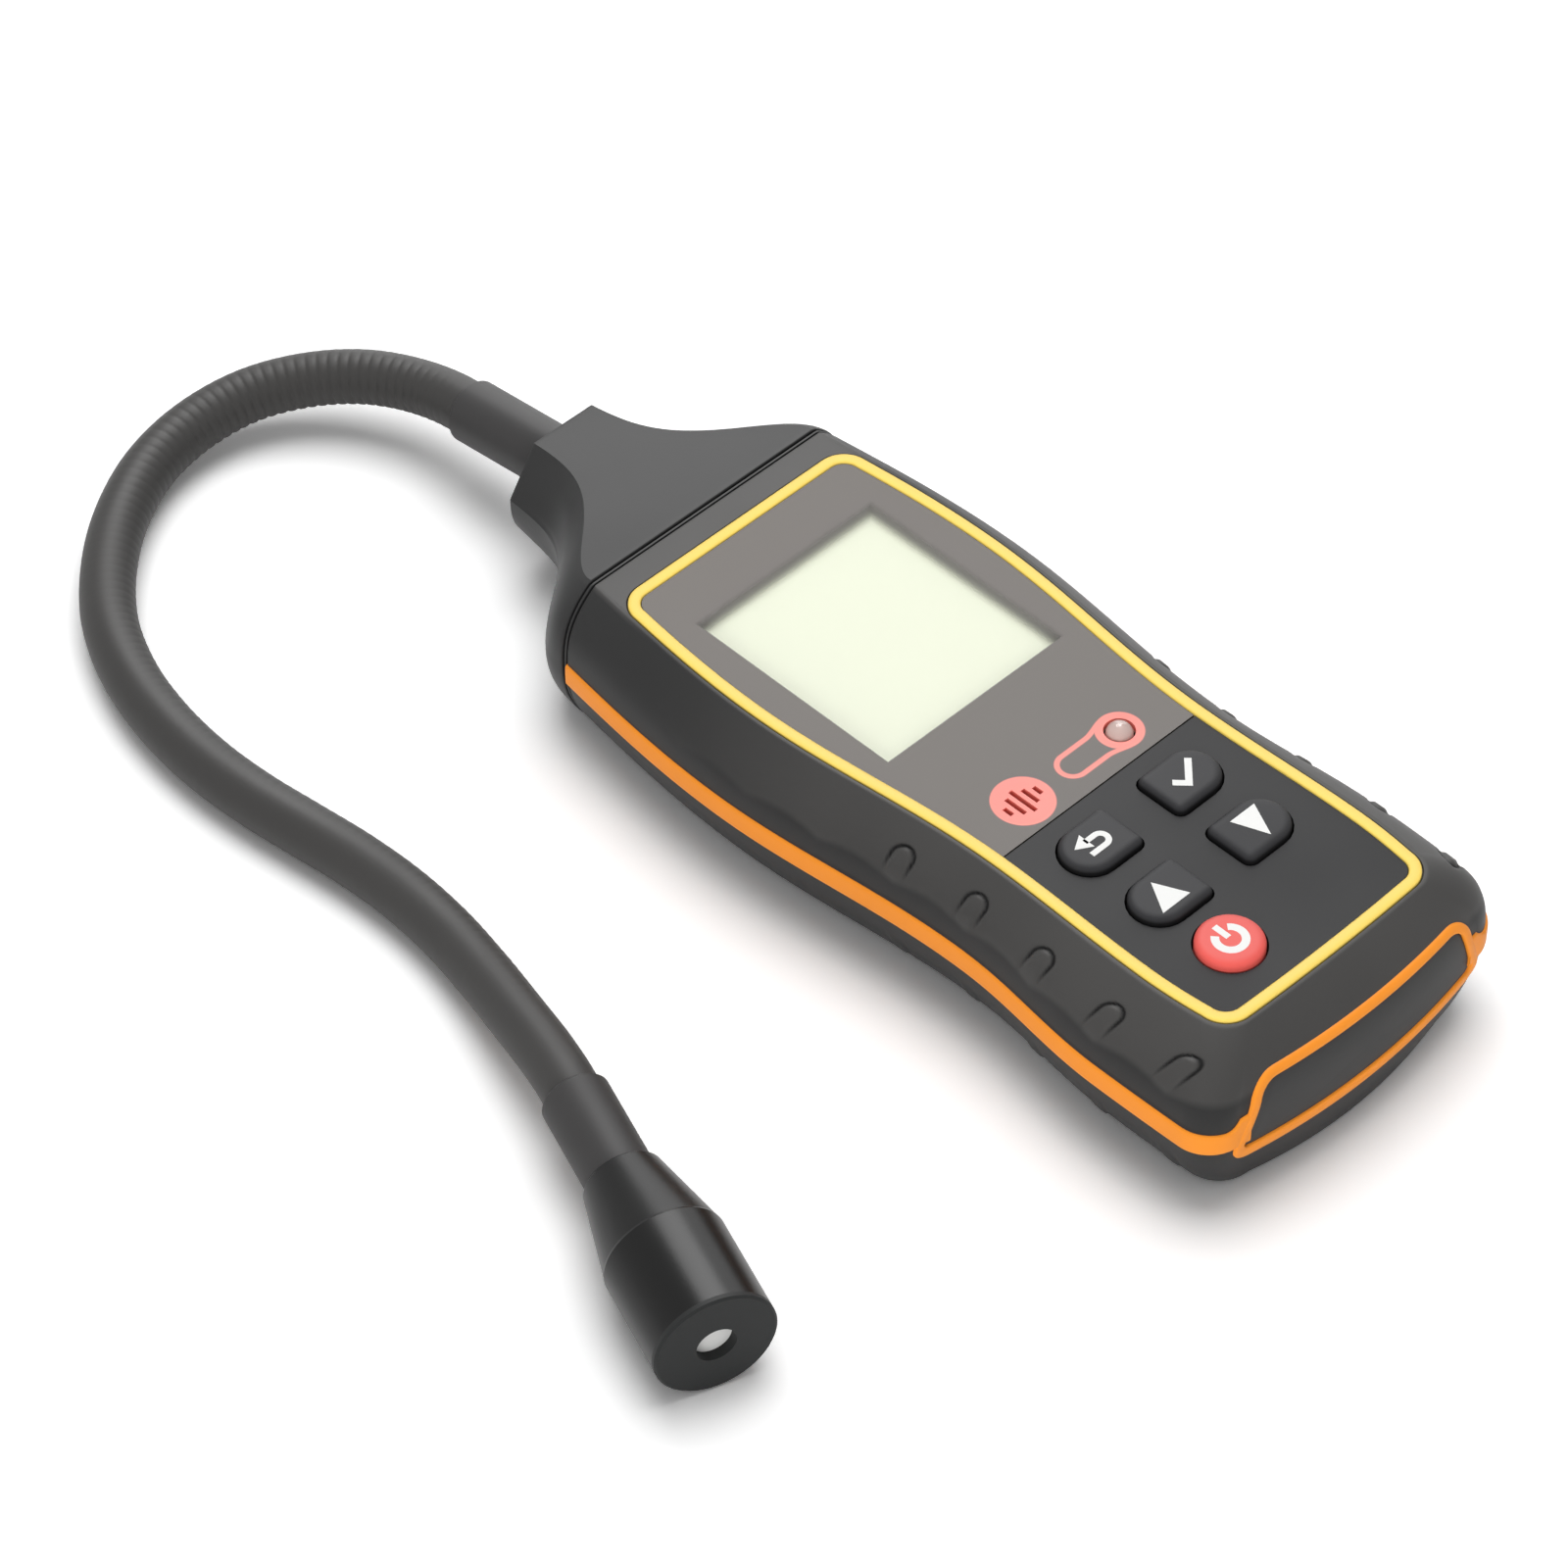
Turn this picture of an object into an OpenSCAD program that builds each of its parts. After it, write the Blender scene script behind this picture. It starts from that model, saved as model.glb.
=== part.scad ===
// Handheld refrigerant leak detector: a waisted two-part case with a display, five keys,
// a tapered neck, and a bendable probe arm that carries the sensor head.
// The detector lies on its back: +X to the right of the face, +Y towards the neck, +Z up.
// The origin is on the resting face, under the middle of the case.

/* [Case] */
// Distance from the origin to the joint between case and neck
neck_y = 80; // [76:0.5:90]
// Distance from the origin to the middle of the tail end
tail_y = 78.8; // [74:0.2:86]
// Thickness of the case
body_t = 34; // [32:0.5:40]
// Full width at the neck joint
top_w = 70; // [66:0.5:76]
// Full width beside the display
bulge_w = 76.6; // [72:0.2:84]
// Full width at the waist
waist_w = 68; // [64:0.5:74]
// Full width beside the keys
hip_w = 73.6; // [70:0.2:80]
// Full width at the tail
tail_w = 72.4; // [68:0.2:78]
// Width of the shoulder between face and side, beside the display
shoulder_w = 7.2; // [5:0.1:9]
// Width of the shoulder beside the keys
hip_shoulder_w = 9.2; // [7:0.1:11]
// Width of the shoulder at the tail corners
tail_shoulder_w = 12.2; // [9:0.1:13]
// How far the face stops short of the tail end
chin_l = 9.4; // [6:0.1:11]
// How far the sides draw in from the band down to the resting face
under_w = 6.7; // [4:0.1:8]
// Wall thickness of the case
wall = 2.4; // [1.8:0.1:3]
// Wall thickness at the tail, which holds the end plate
tail_wall = 5; // [4.5:0.1:7]
// Thickness of the front wall behind the face panels
front_wall = 2.6; // [2:0.1:3]

/* [Band] */
// Height of the middle of the orange band
band_z = 17; // [15:0.5:19]
// Height of the orange band
band_h = 4.8; // [3.5:0.1:6]
// How far the band stands proud of the case
band_proud = 0.5; // [0.2:0.1:1]
// Height of the end loop, outside
loop_h = 17.6; // [15:0.1:20]
// Width of the end loop along its lower edge
loop_w = 61; // [54:0.5:64]
// Width of the end loop along its upper edge
loop_top_w = 55; // [48:0.5:58]
// Breadth of the loop's own strip
loop_strip = 2.1; // [1.5:0.1:3]

/* [Face] */
// Gap between the neck joint and the yellow ring
ring_top_gap = 5.7; // [4:0.1:9]
// Breadth of the yellow ring
ring_w = 2.3; // [1.8:0.1:3.5]
// How far the ring stands above the face
ring_proud = 0.5; // [0.2:0.1:1]
// Thickness of the display lens and the key panel
panel_t = 1.6; // [1.2:0.1:2.2]
// Position along Y of the joint between lens and key panel
divide_y = -15.5; // [-17:0.1:-14]
// Width of the display window
window_w = 43.4; // [38:0.2:46]
// Length of the display window
window_l = 47.2; // [40:0.2:50]
// Position along Y of the middle of the window
window_y = 37.3; // [35:0.1:40]

/* [Keys] */
// Distance of each key column from the middle
key_x = 11.1; // [10:0.1:12]
// Position along Y of the upper pair of keys
key_row_1 = -24.9; // [-26:0.1:-24.4]
// Position along Y of the lower pair of keys
key_row_2 = -40.9; // [-42:0.1:-40]
// Position along Y of the power key
power_y = -55.7; // [-56.5:0.1:-55]
// Width of a key
key_w = 13.7; // [11:0.1:15]
// Length of a key
key_l = 10.8; // [9:0.1:11.5]
// Diameter of the power key
power_d = 12.2; // [10:0.1:12.6]
// How far the keys stand above the panel
key_proud = 1.6; // [1:0.1:2.4]
// Travel of a key
key_travel = 0.8; // [0.5:0.1:1]
// Clearance around a key
key_gap = 0.4; // [0.3:0.05:0.6]

/* [Neck and probe] */
// Length of the neck beyond the case
neck_l = 38; // [34:0.5:44]
// Width of the neck at its end
neck_end_w = 27; // [24:0.5:30]
// Height of the neck at its end
neck_end_h = 20; // [18:0.5:22]
// Height of the probe axis where it leaves the neck
probe_z = 19.1; // [18:0.1:20]
// Downward slope of the probe axis at the neck, in degrees
probe_dip = 7.5; // [5:0.5:9]
// Diameter of the base sleeve
sleeve_d = 12.2; // [11:0.1:14]
// Diameter of the bendable arm
arm_d = 10.5; // [9:0.1:11]
// Diameter of the sensor head
head_d = 22; // [20:0.2:24]
// Length of the head's cone
cone_l = 17.5; // [14:0.5:22]
// Length of the head's barrel with its nose
barrel_l = 20.5; // [16:0.5:26]
// Diameter of the sampling hole in the nose
port_d = 7.2; // [5:0.1:8]

/* [Hidden] */
$fn = 48;

// Clearance between pieces that sit side by side on the face
trim_gap = 0.1;
// Double groove between case and neck: its whole width, the two lines in it, their depth, and the lip between
groove_w = 1.3;
groove_line = 0.4;
groove_in = 1.1;
lip_in = 0.2;
// How far posts, bosses and webs run into the walls that carry them
seat_in = 0.5;
// Extra length of a cut beyond the face it leaves through
past = 1;

// Heights through the case
face_z = body_t;
seat_z = face_z - panel_t;
ceiling_z = seat_z - front_wall;
rim_hi = band_z + band_h / 2;
rim_lo = band_z - band_h / 2;
floor_t = 3;

// Keys, from the ceiling down: flange, dome and mat, with room to press
key_edge = 0.55;
// Rolled edge of a key: how far in it starts, and its middle point in and down, as shares of key_edge
roll_start = 1.8;
roll_in = 0.65;
roll_down = 0.22;
key_round = 1.6;
key_flange = 1.2;
flange_t = 1;
flange_gap = 0.3;
flange_top = ceiling_z - flange_gap;
flange_foot = flange_top - flange_t;
key_top = face_z + key_proud;
dome_gap = 0.2;
press_spare = 0.7;
mat_t = 0.8;
mat_side = 8;
mat_foot = 1;
mat_head = 2;
dome_r = 3.6;
dome_top_r = 2.2;

// Circuit board and what stands on it
board_t = 1.6;
board_drop = flange_gap + flange_t + dome_gap + key_travel + press_spare + mat_t;
board_top = ceiling_z - board_drop;
board_hw = 29;
board_y0 = -61;
board_y1 = 64;
post_r = 2;
post_in = 2.5;
post_x = board_hw - post_in;
post_ys = [board_y0 + 3.5, -1.5, board_y1 - 3];
board_screw_d = 1.6;
board_screw_gap = 0.3;
board_screw_l = 4.1;
board_head_d = 3.6;
board_head_h = 1.2;

// Turning points of the plan outline: [y, half width] from the neck to the tail
bulge_y = 40;
waist_y = -16.5;
hip_y = -50;
band_line = [[neck_y, top_w / 2], [bulge_y, bulge_w / 2], [waist_y, waist_w / 2],
             [hip_y, hip_w / 2], [-tail_y, tail_w / 2]];
face_line = [[neck_y, top_w / 2 - shoulder_w], [bulge_y, bulge_w / 2 - shoulder_w],
             [waist_y, waist_w / 2 - shoulder_w], [hip_y, hip_w / 2 - hip_shoulder_w],
             [-tail_y, tail_w / 2 - tail_shoulder_w]];
base_line = [for (p = band_line) [p.x, p.y - under_w]];

// Plan corners: radius and bow of the tail end
corner_r = 7;
joint_r = 0.5;
tail_bow = 3;
face_corner_r = 6;
face_bow = 0.4;
base_draw = 2.6;
// How round the shoulder is: a higher power holds the side upright for longer
shoulder_pow = 3.3;
edge_round = 0.4;
foot_round = 1.2;

// Sampling of the outlines, and of the shoulder from the face downwards
shoulder_steps = [0.03, 0.09, 0.18, 0.32, 0.55, 0.8, 1];
side_n = 18;
corner_n = 5;
bow_n = 4;

// Face trim
ring_in = 0.8;
ring_top = neck_y - ring_top_gap;
ring_tail = -(tail_y - chin_l) + ring_in;
ring_corner = 5.5;
// Rounded top of the ring: share of its breadth and of its rise at the haunches
haunch_in = 0.12;
haunch_up = 0.6;

divide_gap = 0.3;
window_rim = 1;

// Tail loop and end plate, let into the tail; loop_under is the share of the loop that hangs below the band
loop_under = 0.375;
loop_z0 = band_z - loop_h * loop_under;
loop_z1 = loop_z0 + loop_h;
loop_top_r = 6;
loop_foot_r = 2.2;
loop_least_r = 0.6;
loop_lean = 10;
loop_seat_y = -(tail_y - tail_bow) + tail_wall / 2;
band_end_in = 3;
loop_step = 0.2;
loop_proud = band_proud + loop_step;

// Marks and lamps on the face
lamp_x = 11.9;
lamp_y = -8.9;
lamp_d = 5;
lamp_gap = 0.35;
lamp_rim = 0.4;
lamp_rim_h = 1;
lamp_drop = 1;
sounder_x = -11.9;
sounder_y = -8.8;
sounder_d = 12;
sounder_lip = 1.5;
sounder_gap = 0.1;
sounder_port_d = 2;
slot_w = 0.9;
slot_pitch = 1.8;
slot_ls = [2, 4.6, 6.2, 3.8, 2];

// Display module
glass_edge = 0.6;
glass_w = window_w + 2 * glass_edge;
glass_l = window_l + 2 * glass_edge;
glass_t = 3.3;
glass_gap = 0.2;
glass_drop = 0.1;
frame_rim = 1.2;

// Battery bay, open to the back
cell_d = 14.5;
cell_l = 50.5;
cell_pitch = 15.2;
cell_count = 3;
cell_edge = 0.7;
button_r = 2.75;
button_h = 1.2;
contact_t = 0.5;
contact_w = 10;
contact_h = 11;
spring_l = 5.5;
spring_gap = 0.1;
spring_wire_r = 0.35;
spring_foot_r = 4.6;
spring_top_r = 2.4;
spring_turns = 4;
bay_wall = 1.5;
bay_spare = 0.8;
bay_w = cell_pitch * cell_count + bay_spare;
bay_l = cell_l + spring_l + 2 * contact_t;
bay_y = -32.5;
bay_y0 = bay_y - bay_l / 2;
bay_y1 = bay_y + bay_l / 2;
bay_top = rim_lo + 4;
door_t = 1.8;
door_lift = 0.3;
door_gap = 0.35;
door_lip = 2;
door_top = door_lift + door_t;
grip_n = 5;
grip_w = 1;
grip_l = 16;
grip_in = 5;
grip_deep = 0.5;
cell_gap = 0.4;
cell_z = door_top + cell_gap + cell_d / 2;

// Case screws
screw_d = 3;
screw_head_d = 5.6;
screw_head_h = 2;
screw_l = 20;
screw_gap = 0.2;
boss_r = 3.6;
boss_z = rim_hi - 3;
screw_z = 2.2;
screw_bite = 6;
cross_l = 3;
cross_w = 0.8;
cross_deep = 1;
screw_x = 22.5;
screw_top_y = neck_y - 10.5;
screw_tail_y = -tail_y + 11.6;
screw_spots = [for (x = [screw_x, -screw_x], y = [screw_top_y, screw_tail_y]) [x, y]];

// Grip nubs along each side
nub_y0 = 0;
nub_pitch = 16.2;
nub_count = 5;
nub_r = 1.9;
nub_rise = 0.15;
nub_l = 3.4;
nub_grow = 0.5;
// Share of its radius at which a nub is cut flat, inside the wall
nub_cut = 0.1;
nub_z = face_z - 6.5;
nub_tilt = 20;
nub_lean = 2;
low_nub_z = 7;
low_nub_tilt = 24;
low_nub_gap = 1;

// Neck
neck_end_y = neck_y + neck_l;
neck_flat = 7;
neck_n = 14;
neck_wall = 3.4;
// The hollow stops at this share of the neck's length
hollow_end = 0.75;
// Tongue clamped in the case round the two upper bosses, and the web that carries it in the neck
tongue_l = 16;
tongue_w = top_w - 8;
tongue_gap = 0.2;
web_l = 5;
web_w = top_w - 4;
wire_d = 5;
wire_way_d = 4;
// Base sleeve: seat in the neck's end, threaded stub behind it, and its nut
sleeve_seat = 5;
sleeve_out = 25;
sleeve_edge = 0.6;
stub_d = 9.2;
stub_l = 9;
clamp_t = 3;
nut_d = 14;
nut_h = 4;
nut_room = 15;

// Bendable arm: hand-chosen route from the base sleeve to the tip sleeve
sleeve_end = [0, neck_end_y + sleeve_out * cos(probe_dip), probe_z - sleeve_out * sin(probe_dip)];
route = [[-1, 155, 14], [-5.5, 166, 12.4], [-13, 174.8, 10.6], [-22, 180.4, 9], [-32.5, 182.6, 7.6],
         [-44.3, 181.4, 6.5], [-56.5, 176, 5.8], [-68, 167, 5.5], [-77.5, 155.5, 5.4], [-83.6, 142.5, 5.4],
         [-86.8, 129.5, 5.4], [-88, 117, 5.4], [-87.6, 104.7, 5.4], [-86.2, 93, 5.4], [-84.8, 81.5, 5.4],
         [-84.3, 70, 5.4], [-85.2, 58, 5.6], [-87.8, 45.5, 6.6], [-91.5, 32.6, 8.6], [-95, 21, 10.4]];
arm_sides = 12;
// Straight length of the arm at each of its ends
arm_lead = 4;

// Sensor head, lying level on its barrel
head_turn = 20;
head_at = [-105.2, -7.4, head_d / 2];
head_dir = [-sin(head_turn), -cos(head_turn), 0];
tip_l = 20;
tip_d = 12.4;
tip_edge = 0.7;
cone_d = 13.6;
cone_edge = 0.5;
nose_t = 1.2;
nose_edge = 0.4;
head_wall = 1.2;
head_full = cone_l + barrel_l;
head_bore = head_d / 2 - head_wall;
spigot_l = 4;
sensor_d = 9.2;
sensor_l = 8;
sensor_gap = 0.1;
sensor_rim = 0.8;
sensor_rim_h = 1;
filter_t = 1;
port_depth = 2;

// Plain helpers
function mix(a, b, t) = a + (b - a) * t;
function mix_rings(a, b, t) = [for (i = [0:len(a) - 1]) mix(a[i], b[i], t)];
function backwards(a) = [for (i = [len(a) - 1:-1:0]) a[i]];
function mirrored(a) = [for (p = a) [-p.x, p.y]];
function lift(a, z) = [for (p = a) [p.x, p.y, z]];
function unit(v) = v / norm(v);
function arc(c, r, a0, a1, n) = [for (i = [0:n]) let (a = mix(a0, a1, i / n)) c + r * [cos(a), sin(a)]];

// Half width of an outline at y, running smoothly through its turning points
function half_w(y, p) =
    y > p[1].x ? mix(p[0].y, p[1].y, cos(90 * (y - p[1].x) / (p[0].x - p[1].x)))
    : y > p[2].x ? mix(p[2].y, p[1].y, (1 + cos(180 * (p[1].x - y) / (p[1].x - p[2].x))) / 2)
    : y > p[3].x ? mix(p[3].y, p[2].y, (1 + cos(180 * (p[2].x - y) / (p[2].x - p[3].x))) / 2)
    : mix(p[4].y, p[3].y, cos(90 * (p[3].x - y) / (p[3].x - p[4].x)));

// Right half of a plan outline from y1 down to y0, with optional round corners and a bowed tail
function right_half(p, y1, y0, r1, r0, bow, inset) =
    let (x1 = half_w(y1 - r1, p) - inset, x0 = half_w(y0 + r0, p) - inset)
    concat(
        r1 > 0 ? arc([x1 - r1, y1 - r1], r1, 90, 0, corner_n) : [[x1, y1]],
        [for (i = [1:side_n - 1]) let (y = mix(y1 - r1, y0 + r0, i / side_n)) [half_w(y, p) - inset, y]],
        r0 > 0 ? arc([x0 - r0, y0 + r0], r0, 0, -90, corner_n) : [[x0, y0]],
        bow > 0 ? [for (i = [1:bow_n]) let (x = (x0 - r0) * (1 - (i - 0.5) / bow_n))
                   [x, y0 - bow * (1 - pow(x / (x0 - r0), 2))]] : []);
function plan(p, y1, y0, r1, r0, bow, inset) =
    let (h = right_half(p, y1, y0, r1, r0, bow, inset)) concat(h, backwards(mirrored(h)));

// The three plan outlines of the case, drawn in by an inset at the sides and another at the tail
function face_plan(inset, tail_in) =
    plan(face_line, neck_y - inset, -(tail_y - chin_l) + tail_in, joint_r, face_corner_r, face_bow, inset);
function band_plan(inset, tail_in) =
    plan(band_line, neck_y - inset, -(tail_y - tail_bow) + tail_in, joint_r, corner_r, tail_bow, inset);
function base_plan(inset, tail_in) =
    plan(base_line, neck_y - inset, -(tail_y - tail_bow - base_draw) + tail_in, joint_r, corner_r,
         tail_bow, inset);
function upper_share(z) = 1 - pow(1 - (face_z - z) / (face_z - band_z), shoulder_pow);
function lower_share(z) = pow((band_z - z) / band_z, 2);
function upper_ring(z, inset = 0, tail_in = 0) =
    lift(mix_rings(face_plan(inset, tail_in), band_plan(inset, tail_in), upper_share(z)), z);
function lower_ring(z, inset = 0, tail_in = 0) =
    lift(mix_rings(band_plan(inset, tail_in), base_plan(inset, tail_in), lower_share(z)), z);
function side_x(y, z) = z > band_z
    ? mix(half_w(y, face_line), half_w(y, band_line), upper_share(z))
    : mix(half_w(y, band_line), half_w(y, base_line), lower_share(z));
// Line of the tail end, bowed in plan
tail_half = half_w(-(tail_y - tail_bow) + corner_r, band_line) - corner_r;
function tail_line(x) = -(tail_y - tail_bow) - tail_bow * (1 - pow(x / tail_half, 2));

// A solid through a list of rings, each with the same number of points
module loft(rings, closed = false) {
    n = len(rings[0]);
    m = len(rings);
    last = closed ? m - 1 : m - 2;
    points = [for (r = rings) each r];
    sides = [for (k = [0:last]) for (i = [0:n - 1])
        let (a = k * n, b = ((k + 1) % m) * n, j = (i + 1) % n)
        each [[a + j, a + i, b + i], [a + j, b + i, b + j]]];
    caps = closed ? [] : [[for (i = [0:n - 1]) i], [for (i = [n - 1:-1:0]) (m - 1) * n + i]];
    polyhedron(points, concat(sides, caps));
}

// A round tube along a path
function across(t) = unit(cross(t, [0, 0, 1]));
function tube_rings(path, r, sides) = [for (i = [0:len(path) - 1])
    let (t = unit(path[min(i + 1, len(path) - 1)] - path[max(i - 1, 0)]), s = across(t), u = cross(s, t))
    [for (k = [0:sides - 1]) let (a = -360 * k / sides) path[i] + r * (cos(a) * s + sin(a) * u)]];

// Outline of a key with one round end and two small corners; the round end is on the left
function key_plan(grow) = concat(
    arc([key_w / 2 - key_round, key_l / 2 - key_round], key_round + grow, 90, 0, 4),
    arc([key_w / 2 - key_round, -key_l / 2 + key_round], key_round + grow, 0, -90, 4),
    arc([-key_w / 2 + key_l / 2, 0], key_l / 2 + grow, -90, -270, 12));

module at_keys() {
    for (side = [-1, 1])
        for (y = [key_row_1, key_row_2])
            translate([side * key_x, y, 0])
                mirror([side > 0 ? 1 : 0, 0, 0])
                    children();
}

module at_probe() {
    translate([0, neck_end_y, probe_z])
        rotate([-90 - probe_dip, 0, 0])
            children();
}

module at_head() {
    translate(head_at)
        rotate([90, 0, -head_turn])
            children();
}

module plate(points, z0, z1) {
    translate([0, 0, z0])
        linear_extrude(z1 - z0)
            polygon(points);
}

module box(x0, x1, y0, y1, z0, z1) {
    translate([x0, y0, z0])
        cube([x1 - x0, y1 - y0, z1 - z0]);
}

// The outer half of a capsule, let into the side of the case and pointing down the slope
module nub(y, z, l, tilt) {
    x = side_x(y, z);
    for (side = [0, 1])
        mirror([side, 0, 0])
            translate([x - nub_r + nub_rise, y, z])
                rotate([0, tilt, 0])
                    intersection() {
                        union() {
                            translate([0, 0, -l / 2])
                                cylinder(h = l, r = nub_r);
                            for (end = [-l / 2, l / 2])
                                translate([0, 0, end])
                                    sphere(r = nub_r);
                        }
                        box(nub_cut * nub_r, 2 * nub_r, -2 * nub_r, 2 * nub_r, -l - nub_r, l + nub_r);
                    }
}

module grip_nubs(z, tilt, lean = 0) {
    for (i = [0:nub_count - 1])
        nub(nub_y0 - nub_pitch * i, z, nub_l + nub_grow * i, tilt + lean * i);
}

function loop_plan(inset) =
    let (w0 = loop_w / 2 - inset, w1 = loop_top_w / 2 - inset, z0 = loop_z0 + inset, z1 = loop_z1 - inset,
         r1 = loop_top_r - inset, r0 = max(loop_foot_r - inset, loop_least_r),
         h = concat(arc([w1 - r1, z1 - r1], r1, 90, loop_lean, 6),
                    arc([w0 - r0, z0 + r0], r0, loop_lean, -90, 5)))
    concat(h, backwards(mirrored(h)));

// The loop's outline carried from its seat out through the tail
module tail_prism(inset, back = 0) {
    translate([0, loop_seat_y + back, 0])
        rotate([90, 0, 0])
            linear_extrude(loop_seat_y + back + tail_y + 2 * past)
                polygon(loop_plan(inset));
}

// The whole outside of the case, grown by a margin
module case_body(grow) {
    loft([
        for (share = shoulder_steps) upper_ring(mix(face_z, band_z, share), -grow, -grow),
        for (share = [0.35, 0.7, 1]) lower_ring(band_z * (1 - share), -grow, -grow)
    ]);
}

function ring_plan(inset, y1 = ring_top, y0 = ring_tail, r1 = ring_corner, r0 = ring_corner) =
    plan(face_line, y1 - inset * (r1 > 0 ? 1 : 0), y0 + inset * (r0 > 0 ? 1 : 0),
         max(r1 - inset, 0), max(r0 - inset, 0), r0 > 0 ? face_bow : 0, ring_in + inset);
panel_in = ring_w + trim_gap;

module front_case() color("dimgray") {
    grip_nubs(nub_z, -nub_tilt, -nub_lean);
    difference() {
        union() {
            loft([
                lift(ring_plan(0), seat_z),
                lift(ring_plan(0), face_z),
                upper_ring(face_z, edge_round, edge_round),
                for (share = shoulder_steps) upper_ring(mix(face_z, rim_hi, share)),
                for (share = [0, 0.45, 0.8, 1]) upper_ring(mix(rim_hi, ceiling_z, share), wall, tail_wall)
            ]);
            for (s = screw_spots)
                translate([s.x, s.y, boss_z])
                    cylinder(h = ceiling_z - boss_z + seat_in, r = boss_r);
            for (x = [-post_x, post_x], y = post_ys)
                translate([x, y, board_top])
                    cylinder(h = board_drop + seat_in, r = post_r);
        }
        box(-window_w / 2 - window_rim, window_w / 2 + window_rim, window_y - window_l / 2 - window_rim,
            window_y + window_l / 2 + window_rim, ceiling_z - past, seat_z + past);
        translate([0, 0, ceiling_z - past]) {
            at_keys()
                linear_extrude(front_wall + 2 * past)
                    polygon(key_plan(key_gap));
            translate([-key_x, power_y, 0])
                cylinder(h = front_wall + 2 * past, d = power_d + 2 * key_gap);
            translate([lamp_x, lamp_y, 0])
                cylinder(h = front_wall + 2 * past, d = lamp_d + 2 * lamp_gap);
            translate([sounder_x, sounder_y, 0])
                cylinder(h = front_wall + 2 * past, d = sounder_d - 2 * sounder_lip);
        }
        for (s = screw_spots)
            translate([s.x, s.y, boss_z - past])
                cylinder(h = screw_bite + past, d = screw_d);
        for (x = [-post_x, post_x], y = post_ys)
            translate([x, y, board_top - past])
                cylinder(h = board_screw_l - board_t + past, d = board_screw_d);
        tail_prism(0);
    }
}

module rear_case() color("dimgray") {
    difference() {
        union() {
            loft([
                for (share = [0, 0.5, 1]) lower_ring(mix(floor_t, rim_lo, share), wall, tail_wall),
                for (share = [0, 0.25, 0.5, 0.75, 0.93]) lower_ring(rim_lo * (1 - share)),
                lower_ring(0, foot_round, foot_round)
            ]);
            intersection() {
                grip_nubs(low_nub_z, low_nub_tilt);
                box(-bulge_w, bulge_w, -tail_y, neck_y, foot_round, rim_lo - low_nub_gap);
            }
            for (s = screw_spots)
                translate([s.x, s.y, floor_t - seat_in])
                    cylinder(h = boss_z - floor_t + seat_in, r = boss_r);
            box(-bay_w / 2 - bay_wall, bay_w / 2 + bay_wall, bay_y0 - bay_wall, bay_y1 + bay_wall,
                floor_t - seat_in, bay_top);
        }
        box(-bay_w / 2, bay_w / 2, bay_y0, bay_y1, -past, bay_top + past);
        box(-bay_w / 2 - door_lip, bay_w / 2 + door_lip, bay_y0 - door_lip, bay_y1 + door_lip,
            -past, door_top);
        for (s = screw_spots) {
            translate([s.x, s.y, -past])
                cylinder(h = screw_z + past, d = screw_head_d + 2 * screw_gap);
            translate([s.x, s.y, 0])
                cylinder(h = rim_hi, d = screw_d + 2 * screw_gap);
        }
        tail_prism(0);
    }
}

// Orange strip along both sides, joined to the loop round the end plate
module side_band() color("darkorange") {
    outer = right_half(band_line, neck_y, -(tail_y - tail_bow) - band_proud, 0, corner_r + band_proud, 0,
                       -band_proud);
    inner = right_half(band_line, neck_y, -(tail_y - tail_bow), 0, corner_r, 0, wall);
    n = len(outer) - 1;
    end_x = loop_w / 2 - band_end_in;
    front = tail_line(end_x) - band_proud;
    back = front + wall + band_proud;
    strip = [
        for (i = [0:n]) [[outer[i].x, outer[i].y, rim_hi], [inner[i].x, inner[i].y, rim_hi],
                         [inner[i].x, inner[i].y, rim_lo], [outer[i].x, outer[i].y, rim_lo]],
        [[end_x, front, rim_hi], [end_x, back, rim_hi], [end_x, back, rim_lo], [end_x, front, rim_lo]]];
    difference() {
        union() {
            for (side = [0, 1])
                mirror([side, 0, 0])
                    loft(strip);
            intersection() {
                tail_prism(0);
                case_body(loop_proud);
            }
        }
        tail_prism(loop_strip, past);
    }
}

// The end plate fills the loop, flush with the tail
module end_plate() color("dimgray") {
    intersection() {
        tail_prism(loop_strip);
        case_body(0);
    }
}

// Section of the neck at its joint with the case
neck_zs = [for (share = [0, 0.12, 0.3, 0.55, 0.8, 1]) mix(face_z, band_z, share)];
neck_low_zs = [for (share = [0.35, 0.65, 0.9, 1]) mix(band_z, 0, share)];
function joint_section(inset) =
    let (zs = concat(neck_zs, neck_low_zs), last = len(zs) - 1,
         edge = [for (i = [0:last]) i == 0 ? edge_round : i == last ? foot_round : 0],
         right = [for (i = [0:last])
                  [side_x(neck_y, zs[i]) - inset - edge[i], min(max(zs[i], inset), face_z - inset)]])
    concat(right, backwards(mirrored(right)));
function joint_ring(y, inset) = [for (p = joint_section(inset)) [p.x, y, p.y]];
// Section at the neck's end: a narrow flat top, sloping shoulders, a ridge at each side and a round foot
function end_section(inset) =
    let (h = neck_end_h / 2 - inset, w = neck_end_w / 2 - inset, m = neck_flat - inset / 2,
         spread = [0, 0.18, 0.5, 0.8, 0.97, 1, 1, 0.88, 0.6, 0],
         us = [1, 0.9, 0.6, 0.35, 0.12, 0, -0.35, -0.62, -0.88, -1],
         right = [for (i = [0:len(us) - 1]) [mix(m, w, spread[i]), probe_z + us[i] * h]])
    concat(right, backwards(mirrored(right)));
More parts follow.
